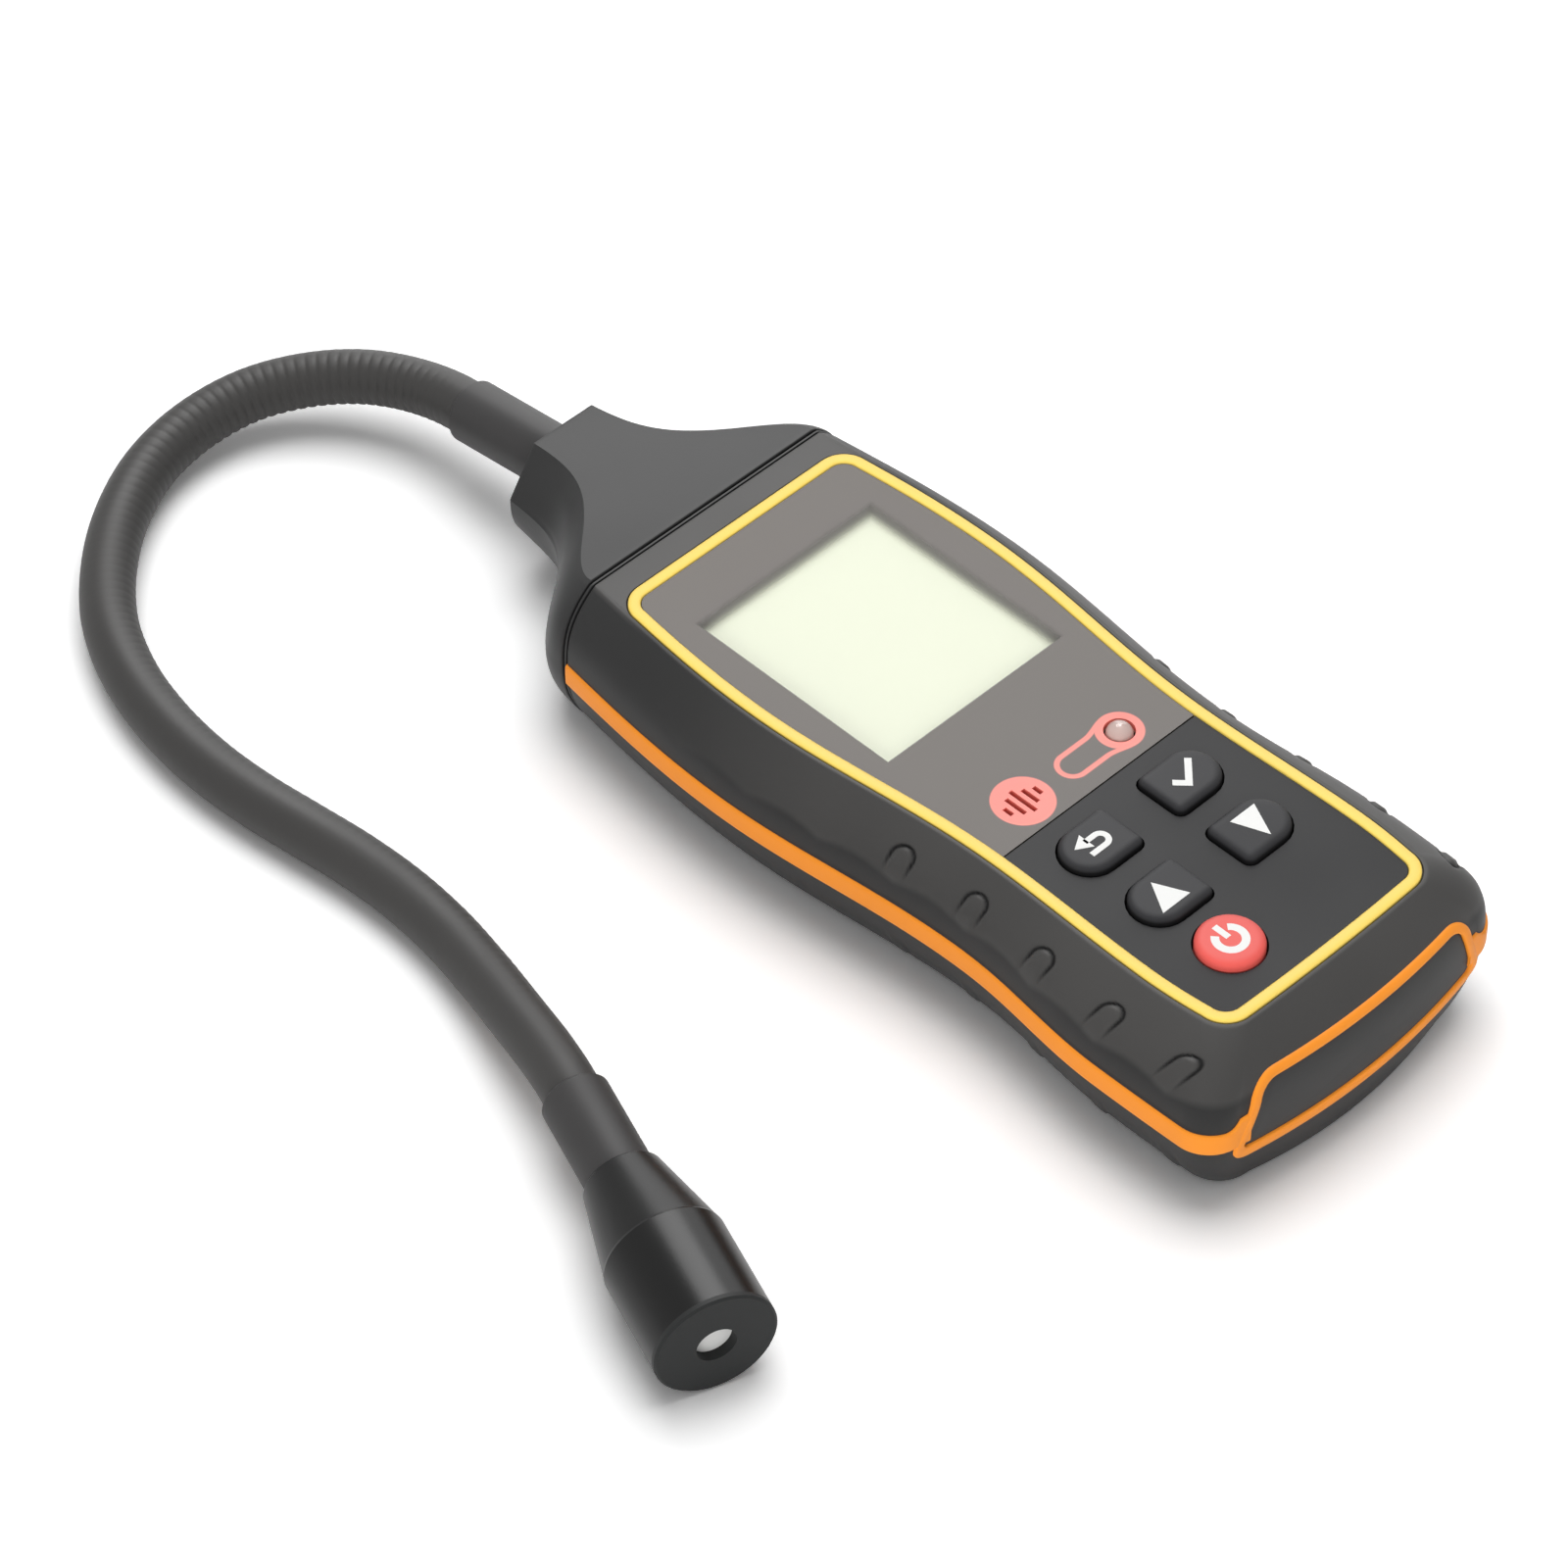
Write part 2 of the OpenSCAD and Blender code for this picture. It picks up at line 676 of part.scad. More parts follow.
// The neck keeps its width for longer along its foot than along its top, then narrows quickly:
// the share of its length at which it narrows, and how suddenly, each given as [foot, top]
narrow_at = [0.45, 0.42];
narrow_pow = [3, 1.8];
function neck_share(t, u) =
    exp(-pow(t / mix(narrow_at[0], narrow_at[1], u), mix(narrow_pow[0], narrow_pow[1], u)));
function neck_ring(t, inset = 0) =
    let (a = joint_section(inset), b = end_section(inset), y = mix(neck_y + groove_w, neck_end_y, t))
    [for (i = [0:len(a) - 1])
        [mix(b[i].x, a[i].x, neck_share(t, a[i].y / face_z)), y, mix(a[i].y, b[i].y, t)]];

module probe_neck() color("dimgray") {
    difference() {
        union() {
            difference() {
                loft([
                    joint_ring(neck_y, groove_in),
                    joint_ring(neck_y + groove_line, groove_in),
                    joint_ring(neck_y + groove_line, lip_in),
                    joint_ring(neck_y + groove_w - groove_line, lip_in),
                    joint_ring(neck_y + groove_w - groove_line, groove_in),
                    joint_ring(neck_y + groove_w, groove_in),
                    for (i = [0:neck_n]) neck_ring(i / neck_n)
                ]);
                loft([
                    joint_ring(neck_y - past, neck_wall),
                    for (i = [0:6]) neck_ring(hollow_end * i / 6, neck_wall)
                ]);
            }
            box(-web_w / 2, web_w / 2, neck_y, neck_y + web_l, rim_lo, rim_hi);
            box(-tongue_w / 2, tongue_w / 2, neck_y - tongue_l, neck_y + past, rim_lo, rim_hi);
        }
        at_probe() {
            translate([0, 0, -sleeve_seat])
                cylinder(h = sleeve_seat + past, d = sleeve_d);
            translate([0, 0, -sleeve_seat - stub_l])
                cylinder(h = stub_l + past, d = stub_d);
            translate([0, 0, -sleeve_seat - clamp_t - nut_h - past])
                cylinder(h = nut_h + past, d = nut_room);
        }
        for (x = [-screw_x, screw_x])
            translate([x, screw_top_y, rim_lo - past])
                cylinder(h = band_h + 2 * past, r = boss_r + tongue_gap);
        translate([0, neck_y - tongue_l - past, band_z])
            rotate([-90, 0, 0])
                cylinder(h = tongue_l + web_l + 2 * past, d = wire_way_d);
    }
}

module face_ring() color("gold") {
    loft([
        lift(ring_plan(ring_w / 2), face_z + ring_proud),
        lift(ring_plan(ring_w * haunch_in), face_z + ring_proud * haunch_up),
        lift(ring_plan(0), face_z),
        lift(ring_plan(0), seat_z),
        lift(ring_plan(ring_w), seat_z),
        lift(ring_plan(ring_w), face_z),
        lift(ring_plan(ring_w * (1 - haunch_in)), face_z + ring_proud * haunch_up)
    ], closed = true);
}

module display_lens() color("rosybrown") {
    difference() {
        plate(ring_plan(panel_in, ring_top, divide_y + divide_gap / 2, ring_corner, 0), seat_z, face_z);
        translate([lamp_x, lamp_y, seat_z - past])
            cylinder(h = panel_t + 2 * past, d = lamp_d + 2 * lamp_gap);
        for (i = [0:len(slot_ls) - 1])
            translate([sounder_x + (i - (len(slot_ls) - 1) / 2) * slot_pitch, sounder_y, seat_z - past])
                translate([-slot_w / 2, -slot_ls[i] / 2, 0])
                    cube([slot_w, slot_ls[i], panel_t + 2 * past]);
    }
}

module key_panel() color("darkslategray") {
    difference() {
        plate(ring_plan(panel_in, divide_y - divide_gap / 2, ring_tail, 0, ring_corner), seat_z, face_z);
        translate([0, 0, seat_z - past]) {
            at_keys()
                linear_extrude(panel_t + 2 * past)
                    polygon(key_plan(key_gap));
            translate([-key_x, power_y, 0])
                cylinder(h = panel_t + 2 * past, d = power_d + 2 * key_gap);
        }
    }
}

module soft_key() {
    loft([
        lift(key_plan(-roll_start * key_edge), key_top),
        lift(key_plan(-roll_in * key_edge), key_top - roll_down * key_edge),
        lift(key_plan(0), key_top - key_edge),
        lift(key_plan(0), flange_top),
        lift(key_plan(key_flange), flange_top),
        lift(key_plan(key_flange), flange_foot)
    ]);
}

module key_back() color("darkslategray") translate([-key_x, key_row_1, 0]) soft_key();
module key_up() color("darkslategray") translate([-key_x, key_row_2, 0]) soft_key();
module key_enter() color("darkslategray") translate([key_x, key_row_1, 0]) mirror([1, 0, 0]) soft_key();
module key_down() color("darkslategray") translate([key_x, key_row_2, 0]) mirror([1, 0, 0]) soft_key();

module key_power() color("crimson") {
    r = power_d / 2;
    translate([-key_x, power_y, 0])
        rotate_extrude()
            polygon([[0, flange_foot], [r + key_flange, flange_foot], [r + key_flange, flange_top],
                     [r, flange_top], [r, key_top - key_edge],
                     [r - roll_in * key_edge, key_top - roll_down * key_edge],
                     [r - roll_start * key_edge, key_top], [0, key_top]]);
}

// Silicone sheet with a dome under each key
module key_mat() color("lightgray") {
    dome_top = flange_foot - dome_gap;
    spots = [for (x = [-key_x, key_x], y = [key_row_1, key_row_2]) [x, y], [-key_x, power_y]];
    box(-board_hw + mat_side, board_hw - mat_side, board_y0 + mat_foot, divide_y - mat_head,
        board_top, board_top + mat_t);
    for (p = spots)
        translate([p.x, p.y, 0])
            rotate_extrude()
                polygon([[0, board_top + mat_t / 2], [dome_r, board_top + mat_t / 2],
                         [dome_r, board_top + mat_t], [dome_top_r, dome_top], [0, dome_top]]);
}

module lcd_glass() color("honeydew") {
    top = seat_z - glass_drop;
    box(-glass_w / 2, glass_w / 2, window_y - glass_l / 2, window_y + glass_l / 2, top - glass_t, top);
}

module lcd_frame() color("whitesmoke") {
    w = glass_w / 2 + glass_gap;
    l = glass_l / 2 + glass_gap;
    difference() {
        box(-w - frame_rim, w + frame_rim, window_y - l - frame_rim, window_y + l + frame_rim,
            board_top, ceiling_z);
        box(-w, w, window_y - l, window_y + l, seat_z - glass_drop - glass_t, ceiling_z + past);
    }
}

module main_board() color("seagreen") {
    difference() {
        box(-board_hw, board_hw, board_y0, board_y1, board_top - board_t, board_top);
        for (x = [-post_x, post_x], y = post_ys)
            translate([x, y, board_top - board_t - past])
                cylinder(h = board_t + 2 * past, d = board_screw_d + 2 * board_screw_gap);
    }
}

module board_screws() color("silver") {
    for (x = [-post_x, post_x], y = post_ys)
        translate([x, y, board_top - board_t]) {
            translate([0, 0, -board_head_h])
                cylinder(h = board_head_h, d = board_head_d);
            translate([0, 0, -board_head_h])
                cylinder(h = board_head_h + board_screw_l, d = board_screw_d);
        }
}

// Clear lamp with a flange on the board and a domed tip
module alarm_lamp() color("mistyrose") {
    r = lamp_d / 2;
    top = face_z - lamp_drop;
    translate([lamp_x, lamp_y, 0])
        rotate_extrude()
            intersection() {
                union() {
                    translate([0, board_top])
                        square([r, top - board_top]);
                    translate([0, board_top])
                        square([r + lamp_rim, lamp_rim_h]);
                    translate([0, top])
                        circle(r = r);
                }
                translate([0, board_top])
                    square([r + lamp_rim, face_z - board_top + r]);
            }
}

module sounder() color("black") {
    translate([sounder_x, sounder_y, board_top])
        difference() {
            cylinder(h = board_drop - sounder_gap, d = sounder_d);
            translate([0, 0, board_drop / 2])
                cylinder(h = board_drop, d = sounder_port_d);
        }
}

function cell_x(i) = (i - (cell_count + 1) / 2) * cell_pitch;
function cell_way(i) = i % 2 == 0 ? 1 : -1;

// Round cell with a raised button at its positive end; the springs are at the other end
module cell(i) {
    r = cell_d / 2;
    neck = cell_l - button_h;
    translate([cell_x(i), bay_y, cell_z])
        rotate([-90 * cell_way(i), 0, 0])
            translate([0, 0, -bay_l / 2 + contact_t + spring_l])
                rotate_extrude()
                    polygon([[0, 0], [r - cell_edge, 0], [r, cell_edge], [r, neck - cell_edge],
                             [r - cell_edge, neck], [button_r, neck], [button_r, cell_l], [0, cell_l]]);
}

module battery_1() color("goldenrod") cell(1);
module battery_2() color("goldenrod") cell(2);
module battery_3() color("goldenrod") cell(3);

// Conical coils, widest at the contact plate
module battery_springs() color("silver") {
    steps = 12;
    n = spring_turns * steps;
    rise = spring_l - 2 * spring_wire_r - spring_gap;
    for (i = [1:cell_count])
        translate([cell_x(i), bay_y, cell_z])
            rotate([-90 * cell_way(i), 0, 0])
                translate([0, 0, -bay_l / 2 + contact_t + spring_wire_r])
                    loft(tube_rings([for (k = [0:n])
                        let (r = mix(spring_foot_r, spring_top_r, k / n), a = 360 * k / steps)
                        [r * cos(a), r * sin(a), rise * k / n]], spring_wire_r, 6));
}

module battery_contacts() color("silver") {
    for (i = [1:cell_count], end = [-1, 1])
        translate([cell_x(i), bay_y + end * (bay_l / 2 - contact_t / 2), cell_z])
            cube([contact_w, contact_t, contact_h], center = true);
}

// Door with a ribbed thumb grip
module battery_door() color("dimgray") {
    x = bay_w / 2 + door_lip - door_gap;
    y0 = bay_y0 - door_lip + door_gap;
    y1 = bay_y1 + door_lip - door_gap;
    difference() {
        box(-x, x, y0, y1, door_lift, door_top - door_gap);
        for (i = [1:grip_n])
            translate([-grip_l / 2, y1 - grip_in - 2 * grip_w * i, door_lift - past])
                cube([grip_l, grip_w, past + grip_deep]);
    }
}

module case_screws() color("silver") {
    for (s = screw_spots)
        translate([s.x, s.y, screw_z - screw_head_h])
            difference() {
                union() {
                    cylinder(h = screw_head_h, d = screw_head_d);
                    cylinder(h = screw_l, d = screw_d);
                }
                for (a = [0, 90])
                    rotate(a)
                        translate([-cross_l / 2, -cross_w / 2, -past])
                            cube([cross_l, cross_w, past + cross_deep]);
            }
}

module base_sleeve() color("dimgray") {
    r = sleeve_d / 2;
    foot = -sleeve_seat - stub_l;
    at_probe()
        rotate_extrude()
            polygon([[wire_d / 2, foot], [stub_d / 2, foot], [stub_d / 2, -sleeve_seat], [r, -sleeve_seat],
                     [r, sleeve_out - sleeve_edge], [r - sleeve_edge, sleeve_out], [wire_d / 2, sleeve_out]]);
}

// Hexagonal nut inside the neck that pulls the sleeve into its seat
module neck_nut() color("silver") {
    at_probe()
        translate([0, 0, -sleeve_seat - clamp_t - nut_h])
            difference() {
                cylinder(h = nut_h, d = nut_d, $fn = 6);
                translate([0, 0, -past])
                    cylinder(h = nut_h + 2 * past, d = stub_d);
            }
}

module probe_arm() color("dimgray") {
    tip_start = head_at - tip_l * head_dir;
    out_of_sleeve = sleeve_end + arm_lead * [0, cos(probe_dip), -sin(probe_dip)];
    into_tip = tip_start - arm_lead * head_dir;
    path = concat([sleeve_end, out_of_sleeve], route, [into_tip, tip_start]);
    loft(tube_rings(path, arm_d / 2, arm_sides));
}

module tip_sleeve() color("dimgray") {
    r = tip_d / 2;
    at_head()
        rotate_extrude()
            polygon([[0, -tip_l], [r - tip_edge, -tip_l], [r, -tip_l + tip_edge], [r, 0], [0, 0]]);
}

module sensor_housing() color("black") {
    r = head_d / 2;
    full = head_full - nose_t;
    floor_z = full - spigot_l - sensor_l;
    at_head()
        rotate_extrude()
            polygon([[0, 0], [cone_d / 2, 0], [cone_d / 2 + cone_edge, cone_edge],
                     [r - cone_edge / 3, cone_l - cone_edge], [r, cone_l], [r, full], [head_bore, full],
                     [head_bore, floor_z], [0, floor_z]]);
}

// Round nose with the sampling hole; its spigot fills the mouth of the housing
module sensor_nose() color("darkslategray") {
    r = head_d / 2;
    inner = head_full - nose_t;
    at_head()
        rotate_extrude()
            polygon([[port_d / 2, head_full], [r - nose_edge, head_full], [r, head_full - nose_edge],
                     [r, inner], [head_bore, inner], [head_bore, inner - spigot_l],
                     [sensor_d / 2, inner - spigot_l], [sensor_d / 2, head_full - port_depth],
                     [port_d / 2, head_full - port_depth]]);
}

module sensor_filter() color("gainsboro") {
    at_head()
        translate([0, 0, head_full - port_depth - filter_t])
            cylinder(h = filter_t, d = sensor_d - 2 * sensor_gap);
}

module sensor_cell() color("silver") {
    r = sensor_d / 2;
    top = head_full - port_depth - filter_t;
    foot = head_full - nose_t - spigot_l - sensor_l;
    at_head()
        rotate_extrude()
            polygon([[0, foot], [r + sensor_rim, foot], [r + sensor_rim, foot + sensor_rim_h],
                     [r - sensor_gap, foot + sensor_rim_h], [r - sensor_gap, top], [0, top]]);
}

front_case();
rear_case();
side_band();
end_plate();
probe_neck();
face_ring();
display_lens();
key_panel();
key_back();
key_enter();
key_up();
key_down();
key_power();
key_mat();
lcd_glass();
lcd_frame();
main_board();
board_screws();
alarm_lamp();
sounder();
battery_1();
battery_2();
battery_3();
battery_springs();
battery_contacts();
battery_door();
case_screws();
base_sleeve();
neck_nut();
probe_arm();
tip_sleeve();
sensor_housing();
sensor_nose();
sensor_filter();
sensor_cell();
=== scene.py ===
# %% [markdown]
# # A handheld leak detector in Blender
#
# The CAD model gives every solid its place. This lesson loads it as a fixed
# frame, then dresses it: smooth lofted shells where the CAD is faceted, marks
# printed on the keys, and procedural finishes. Sizes are in millimetres and
# become metres when a mesh is made; only the floor and the lights at the end
# are written in metres.

# %% Load the frame
import math

import bmesh
import bpy
import numpy as np
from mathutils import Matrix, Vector


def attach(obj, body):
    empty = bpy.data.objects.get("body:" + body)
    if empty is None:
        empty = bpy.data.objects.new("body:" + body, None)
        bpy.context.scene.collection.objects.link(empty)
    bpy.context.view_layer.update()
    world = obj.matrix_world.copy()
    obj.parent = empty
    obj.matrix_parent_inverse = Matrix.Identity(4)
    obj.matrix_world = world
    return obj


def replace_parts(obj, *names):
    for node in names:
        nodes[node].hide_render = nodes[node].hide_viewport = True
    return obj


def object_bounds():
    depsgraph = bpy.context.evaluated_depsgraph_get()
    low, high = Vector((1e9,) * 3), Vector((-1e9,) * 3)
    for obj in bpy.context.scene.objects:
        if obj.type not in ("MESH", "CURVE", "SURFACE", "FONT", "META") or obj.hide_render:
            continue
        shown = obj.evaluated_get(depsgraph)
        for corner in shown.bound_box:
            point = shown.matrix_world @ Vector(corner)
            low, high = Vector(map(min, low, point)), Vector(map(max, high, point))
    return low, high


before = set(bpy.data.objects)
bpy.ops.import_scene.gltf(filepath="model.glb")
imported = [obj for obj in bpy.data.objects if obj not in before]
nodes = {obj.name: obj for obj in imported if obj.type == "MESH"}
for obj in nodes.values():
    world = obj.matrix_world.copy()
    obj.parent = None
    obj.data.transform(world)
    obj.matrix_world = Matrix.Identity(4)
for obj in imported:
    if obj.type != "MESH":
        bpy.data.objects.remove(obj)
cad_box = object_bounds()
scene = bpy.context.scene
MM = 0.001

# %% [markdown]
# ## The camera
#
# The photograph is taken from the front left and above with a long lens. A
# camera is easiest to place by a target point, a distance and two angles, so
# the view can be checked against the CAD frame with a ruler.

# %% Camera
view_target = Vector((-37.95, 22.55, 34.0)) * MM
view_distance = 1083.8 * MM
view_azimuth = math.radians(-44.69)
view_elevation = math.radians(46.54)
view_back = Vector((math.sin(view_azimuth) * math.cos(view_elevation),
                    -math.cos(view_azimuth) * math.cos(view_elevation),
                    math.sin(view_elevation)))

camera = bpy.data.objects.new("camera", bpy.data.cameras.new("camera"))
camera.data.sensor_width = 36.0
camera.data.lens = 146.25
camera.location = view_target + view_back * view_distance
camera.rotation_mode = "QUATERNION"
camera.rotation_quaternion = (-view_back).to_track_quat("-Z", "Y")
scene.collection.objects.link(camera)
scene.camera = camera
scene.view_settings.view_transform = "Standard"
print("camera at", [round(x, 3) for x in camera.location])

# %% [markdown]
# ## Meshes from rings
#
# Nearly every shape here is a loft: a list of rings with the same number of
# points, joined by quads. One helper turns rings into a mesh, merges points
# that fall together, shades it smooth and keeps only real edges sharp.

# %% Loft helpers
WELD = 0.004  # millimetres
SHARP = 32  # degrees


def mix(a, b, t):
    return a + (b - a) * t


def smoothstep(lo, hi, x):
    t = np.clip((np.asarray(x, float) - lo) / (hi - lo), 0, 1)
    return t * t * (3 - 2 * t)


def shade(mesh, sharp=SHARP):
    """Smooth shading that keeps the edges steeper than an angle in degrees."""
    mesh.shade_smooth()
    mesh.set_sharp_from_angle(angle=math.radians(sharp))


def new_piece(name, points, faces, body="case", sharp=SHARP, pressed=None):
    """A smooth-shaded object from points in millimetres, riding on a CAD body."""
    mesh = bpy.data.meshes.new(name)
    mesh.from_pydata((np.asarray(points, float) * MM).tolist(), [], faces)
    if pressed is not None:
        depth = mesh.attributes.new("pressed", "FLOAT", "POINT")
        depth.data.foreach_set("value", np.asarray(pressed, np.float32))
    bm = bmesh.new()
    bm.from_mesh(mesh)
    bmesh.ops.remove_doubles(bm, verts=bm.verts, dist=WELD * MM)
    bmesh.ops.recalc_face_normals(bm, faces=bm.faces)
    bm.to_mesh(mesh)
    bm.free()
    shade(mesh, sharp)
    piece = bpy.data.objects.new(name, mesh)
    scene.collection.objects.link(piece)
    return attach(piece, body)


def loft(rings, closed=False):
    """Points and faces of a skin over rings; closed joins the last ring to the first."""
    rings = np.asarray(rings, float)
    m, n = rings.shape[:2]
    faces = []
    for k in range(m if closed else m - 1):
        a, b = k * n, (k + 1) % m * n
        faces += [(a + i, a + (i + 1) % n, b + (i + 1) % n, b + i) for i in range(n)]
    if not closed:
        faces += [tuple(range(n - 1, -1, -1)), tuple(range((m - 1) * n, m * n))]
    return rings.reshape(-1, 3), faces


def joined(*parts):
    """Several (points, faces) pairs as one."""
    points, faces, base = [], [], 0
    for p, f in parts:
        points.append(np.asarray(p, float))
        faces += [tuple(i + base for i in face) for face in f]
        base += len(p)
    return np.vstack(points), faces


def level(outline, z):
    """A flat outline lifted to a height."""
    outline = np.asarray(outline, float)
    return np.column_stack([outline, np.full(len(outline), z)])


def tell(piece):
    print(piece.name + ":", len(piece.data.polygons), "faces")


# %% [markdown]
# ## The probe arm
#
# The arm is a coil of wound steel in a rubber sheath. It keeps the bend it is
# given, so it is a stiff cord. The centreline runs through the same points as
# the solid. On the inner side of the first bend the sheath is pushed together
# and the turns of the coil press through it; on the outer side it is stretched
# nearly smooth. So the radius carries a helical groove whose depth changes
# along the arm and round it.

# %% Route of the arm
neck_end_y, probe_z, probe_dip = 118.0, 19.1, math.radians(7.5)
sleeve_out, arm_lead, arm_d = 25.0, 4.0, 10.5
head_turn = math.radians(20)
head_at = np.array([-105.2, -7.4, 11.0])
head_dir = np.array([-math.sin(head_turn), -math.cos(head_turn), 0.0])
tip_l = 20.0
probe_dir = np.array([0.0, math.cos(probe_dip), -math.sin(probe_dip)])
sleeve_end = np.array([0.0, neck_end_y, probe_z]) + sleeve_out * probe_dir
tip_start = head_at - tip_l * head_dir
route = [(-1, 155, 14), (-5.5, 166, 12.4), (-13, 174.8, 10.6), (-22, 180.4, 9), (-32.5, 182.6, 7.6),
         (-44.3, 181.4, 6.5), (-56.5, 176, 5.8), (-68, 167, 5.5), (-77.5, 155.5, 5.4), (-83.6, 142.5, 5.4),
         (-86.8, 129.5, 5.4), (-88, 117, 5.4), (-87.6, 104.7, 5.4), (-86.2, 93, 5.4), (-84.8, 81.5, 5.4),
         (-84.3, 70, 5.4), (-85.2, 58, 5.6), (-87.8, 45.5, 6.6), (-91.5, 32.6, 8.6), (-95, 21, 10.4)]
arm_points = np.array([sleeve_end, sleeve_end + arm_lead * probe_dir, *route,
                       tip_start - arm_lead * head_dir, tip_start], float)
SPAN_STEPS = 24


def smooth_path(points, step):
    """A cubic curve through unevenly spaced points, resampled at about an even step."""
    h = np.linalg.norm(np.diff(points, axis=0), axis=1)
    slope = np.diff(points, axis=0) / h[:, None]
    inner = (slope[:-1] * h[1:, None] + slope[1:] * h[:-1, None]) / (h[:-1] + h[1:])[:, None]
    tangent = np.vstack([slope[:1], inner, slope[-1:]])
    fine = []
    for i, span in enumerate(h):
        t = np.linspace(0, 1, SPAN_STEPS, endpoint=False)[:, None]
        fine.append((1 + 2 * t) * (1 - t) ** 2 * points[i] + t * (1 - t) ** 2 * span * tangent[i]
                    + t * t * (3 - 2 * t) * points[i + 1] + t * t * (t - 1) * span * tangent[i + 1])
    fine = np.vstack(fine + [points[-1:]])
    run = np.concatenate([[0], np.cumsum(np.linalg.norm(np.diff(fine, axis=0), axis=1))])
    even = np.linspace(0, run[-1], int(round(run[-1] / step)) + 1)
    return np.column_stack([np.interp(even, run, fine[:, k]) for k in range(3)]), even


rib_pitch, rib_steps = 2.1, 9
arm_path, arm_run = smooth_path(arm_points, rib_pitch / rib_steps)
arm_length = float(arm_run[-1])
print("arm length", round(arm_length, 1), "mm in", len(arm_path), "rings")

# %% Ribbed tube of the arm
arm_sides, arm_slack = 28, 0.08
rib_least, rib_bend, rib_power, outer_share = 0.04, 0.2, 2.5, 0.12
tangent = np.gradient(arm_path, axis=0)
tangent /= np.linalg.norm(tangent, axis=1)[:, None]
across = np.cross(tangent, [0, 0, 1])
across /= np.linalg.norm(across, axis=1)[:, None]
upward = np.cross(across, tangent)
angle = np.linspace(0, 2 * np.pi, arm_sides, endpoint=False)

at_bend = smoothstep(4, 16, arm_run) * (1 - smoothstep(45, 95, arm_run))
off_sleeves = smoothstep(0, 5, arm_run) * (1 - smoothstep(arm_length - 45, arm_length - 8, arm_run))
rib_depth = (rib_least + rib_bend * at_bend) * off_sleeves
turn = 2 * np.pi * arm_run[:, None] / rib_pitch + angle[None, :]
coil_groove = ((1 + np.cos(turn)) / 2) ** rib_power
inner_side = mix(outer_share, 1.0, smoothstep(-0.55, 0.8, -np.cos(angle)))
radius = arm_d / 2 - arm_slack - rib_depth[:, None] * coil_groove * inner_side
arm_rings = (arm_path[:, None, :]
             + (radius * np.cos(angle))[..., None] * across[:, None, :]
             + (radius * np.sin(angle))[..., None] * upward[:, None, :])
arm = new_piece("arm_sheath", *loft(arm_rings), sharp=60)
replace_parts(arm, "probe_arm")
tell(arm)

# %% [markdown]
# ## The outline of the case
#
# Seen from above the case swells at the display, narrows at the waist for the
# hand and widens again at the hip. Cosine arcs between five turning points
# give that line without a kink. Three such outlines, for the face, the side
# band and the foot, are mixed by height to make the whole outside.

# %% Lines of the case
neck_y, tail_y, face_z, band_z, band_h = 80.0, 78.8, 34.0, 17.0, 4.8
rim_hi, rim_lo = band_z + band_h / 2, band_z - band_h / 2
seat_z, ceiling_z = face_z - 1.6, face_z - 4.2
chin_l, tail_bow, corner_r, joint_r = 9.4, 3.0, 7.0, 0.5
face_corner_r, face_bow, shoulder_power = 6.0, 0.4, 3.3
face_tail_y, band_tail_y = -(tail_y - chin_l), -(tail_y - tail_bow)
wall, tail_wall = 2.4, 5.0
turn_y = np.array([neck_y, 40, -16.5, -50, -tail_y])
band_half = [35, 38.3, 34, 36.8, 36.2]
face_in, base_in = [7.2, 7.2, 7.2, 9.2, 12.2], 6.7
band_line = np.column_stack([turn_y, band_half])
face_line = band_line - np.column_stack([np.zeros(len(face_in)), face_in])
base_line = band_line - [0, base_in]
SIDE_N, CORNER_N, BOW_N = 330, 26, 14


def half_width(y, line):
    """Half the width of an outline at y."""
    (y0, w0), (y1, w1), (y2, w2), (y3, w3), (y4, w4) = line
    y = np.asarray(y, float)
    return np.select(
        [y > y1, y > y2, y > y3],
        [mix(w0, w1, np.cos(np.pi / 2 * (y - y1) / (y0 - y1))),
         mix(w2, w1, (1 + np.cos(np.pi * (y1 - y) / (y1 - y2))) / 2),
         mix(w3, w2, (1 + np.cos(np.pi * (y2 - y) / (y2 - y3))) / 2)],
        mix(w4, w3, np.cos(np.pi / 2 * (y3 - y) / (y3 - y4))))


print("widest", 2 * max(band_half), "mm; waist", 2 * float(half_width(turn_y[2], band_line)), "mm")


# %% Outlines of the case
def arc(centre, r, start, stop, count):
    a = np.radians(np.linspace(start, stop, count + 1))
    return np.column_stack([centre[0] + r * np.cos(a), centre[1] + r * np.sin(a)])


def right_half(line, y1, y0, r1, r0, bow, inset):
    """Right half of an outline from y1 down to y0, with round corners and a bowed tail."""
    x1, x0 = half_width(y1 - r1, line) - inset, half_width(y0 + r0, line) - inset
    ys = np.linspace(y1 - r1, y0 + r0, SIDE_N + 1)[1:-1]
    parts = [arc((x1 - r1, y1 - r1), r1, 90, 0, CORNER_N),
             np.column_stack([half_width(ys, line) - inset, ys]),
             arc((x0 - r0, y0 + r0), r0, 0, -90, CORNER_N)]
    if bow:
        xs = (x0 - r0) * (1 - (np.arange(BOW_N) + 0.5) / BOW_N)
        parts.append(np.column_stack([xs, y0 - bow * (1 - (xs / (x0 - r0)) ** 2)]))
    return np.vstack(parts)


def both_halves(half):
    return np.vstack([half, half[::-1] * [-1, 1]])


def face_plan(inset, tail_in):
    return both_halves(right_half(face_line, neck_y - inset, face_tail_y + tail_in,
                                  joint_r, face_corner_r, face_bow, inset))


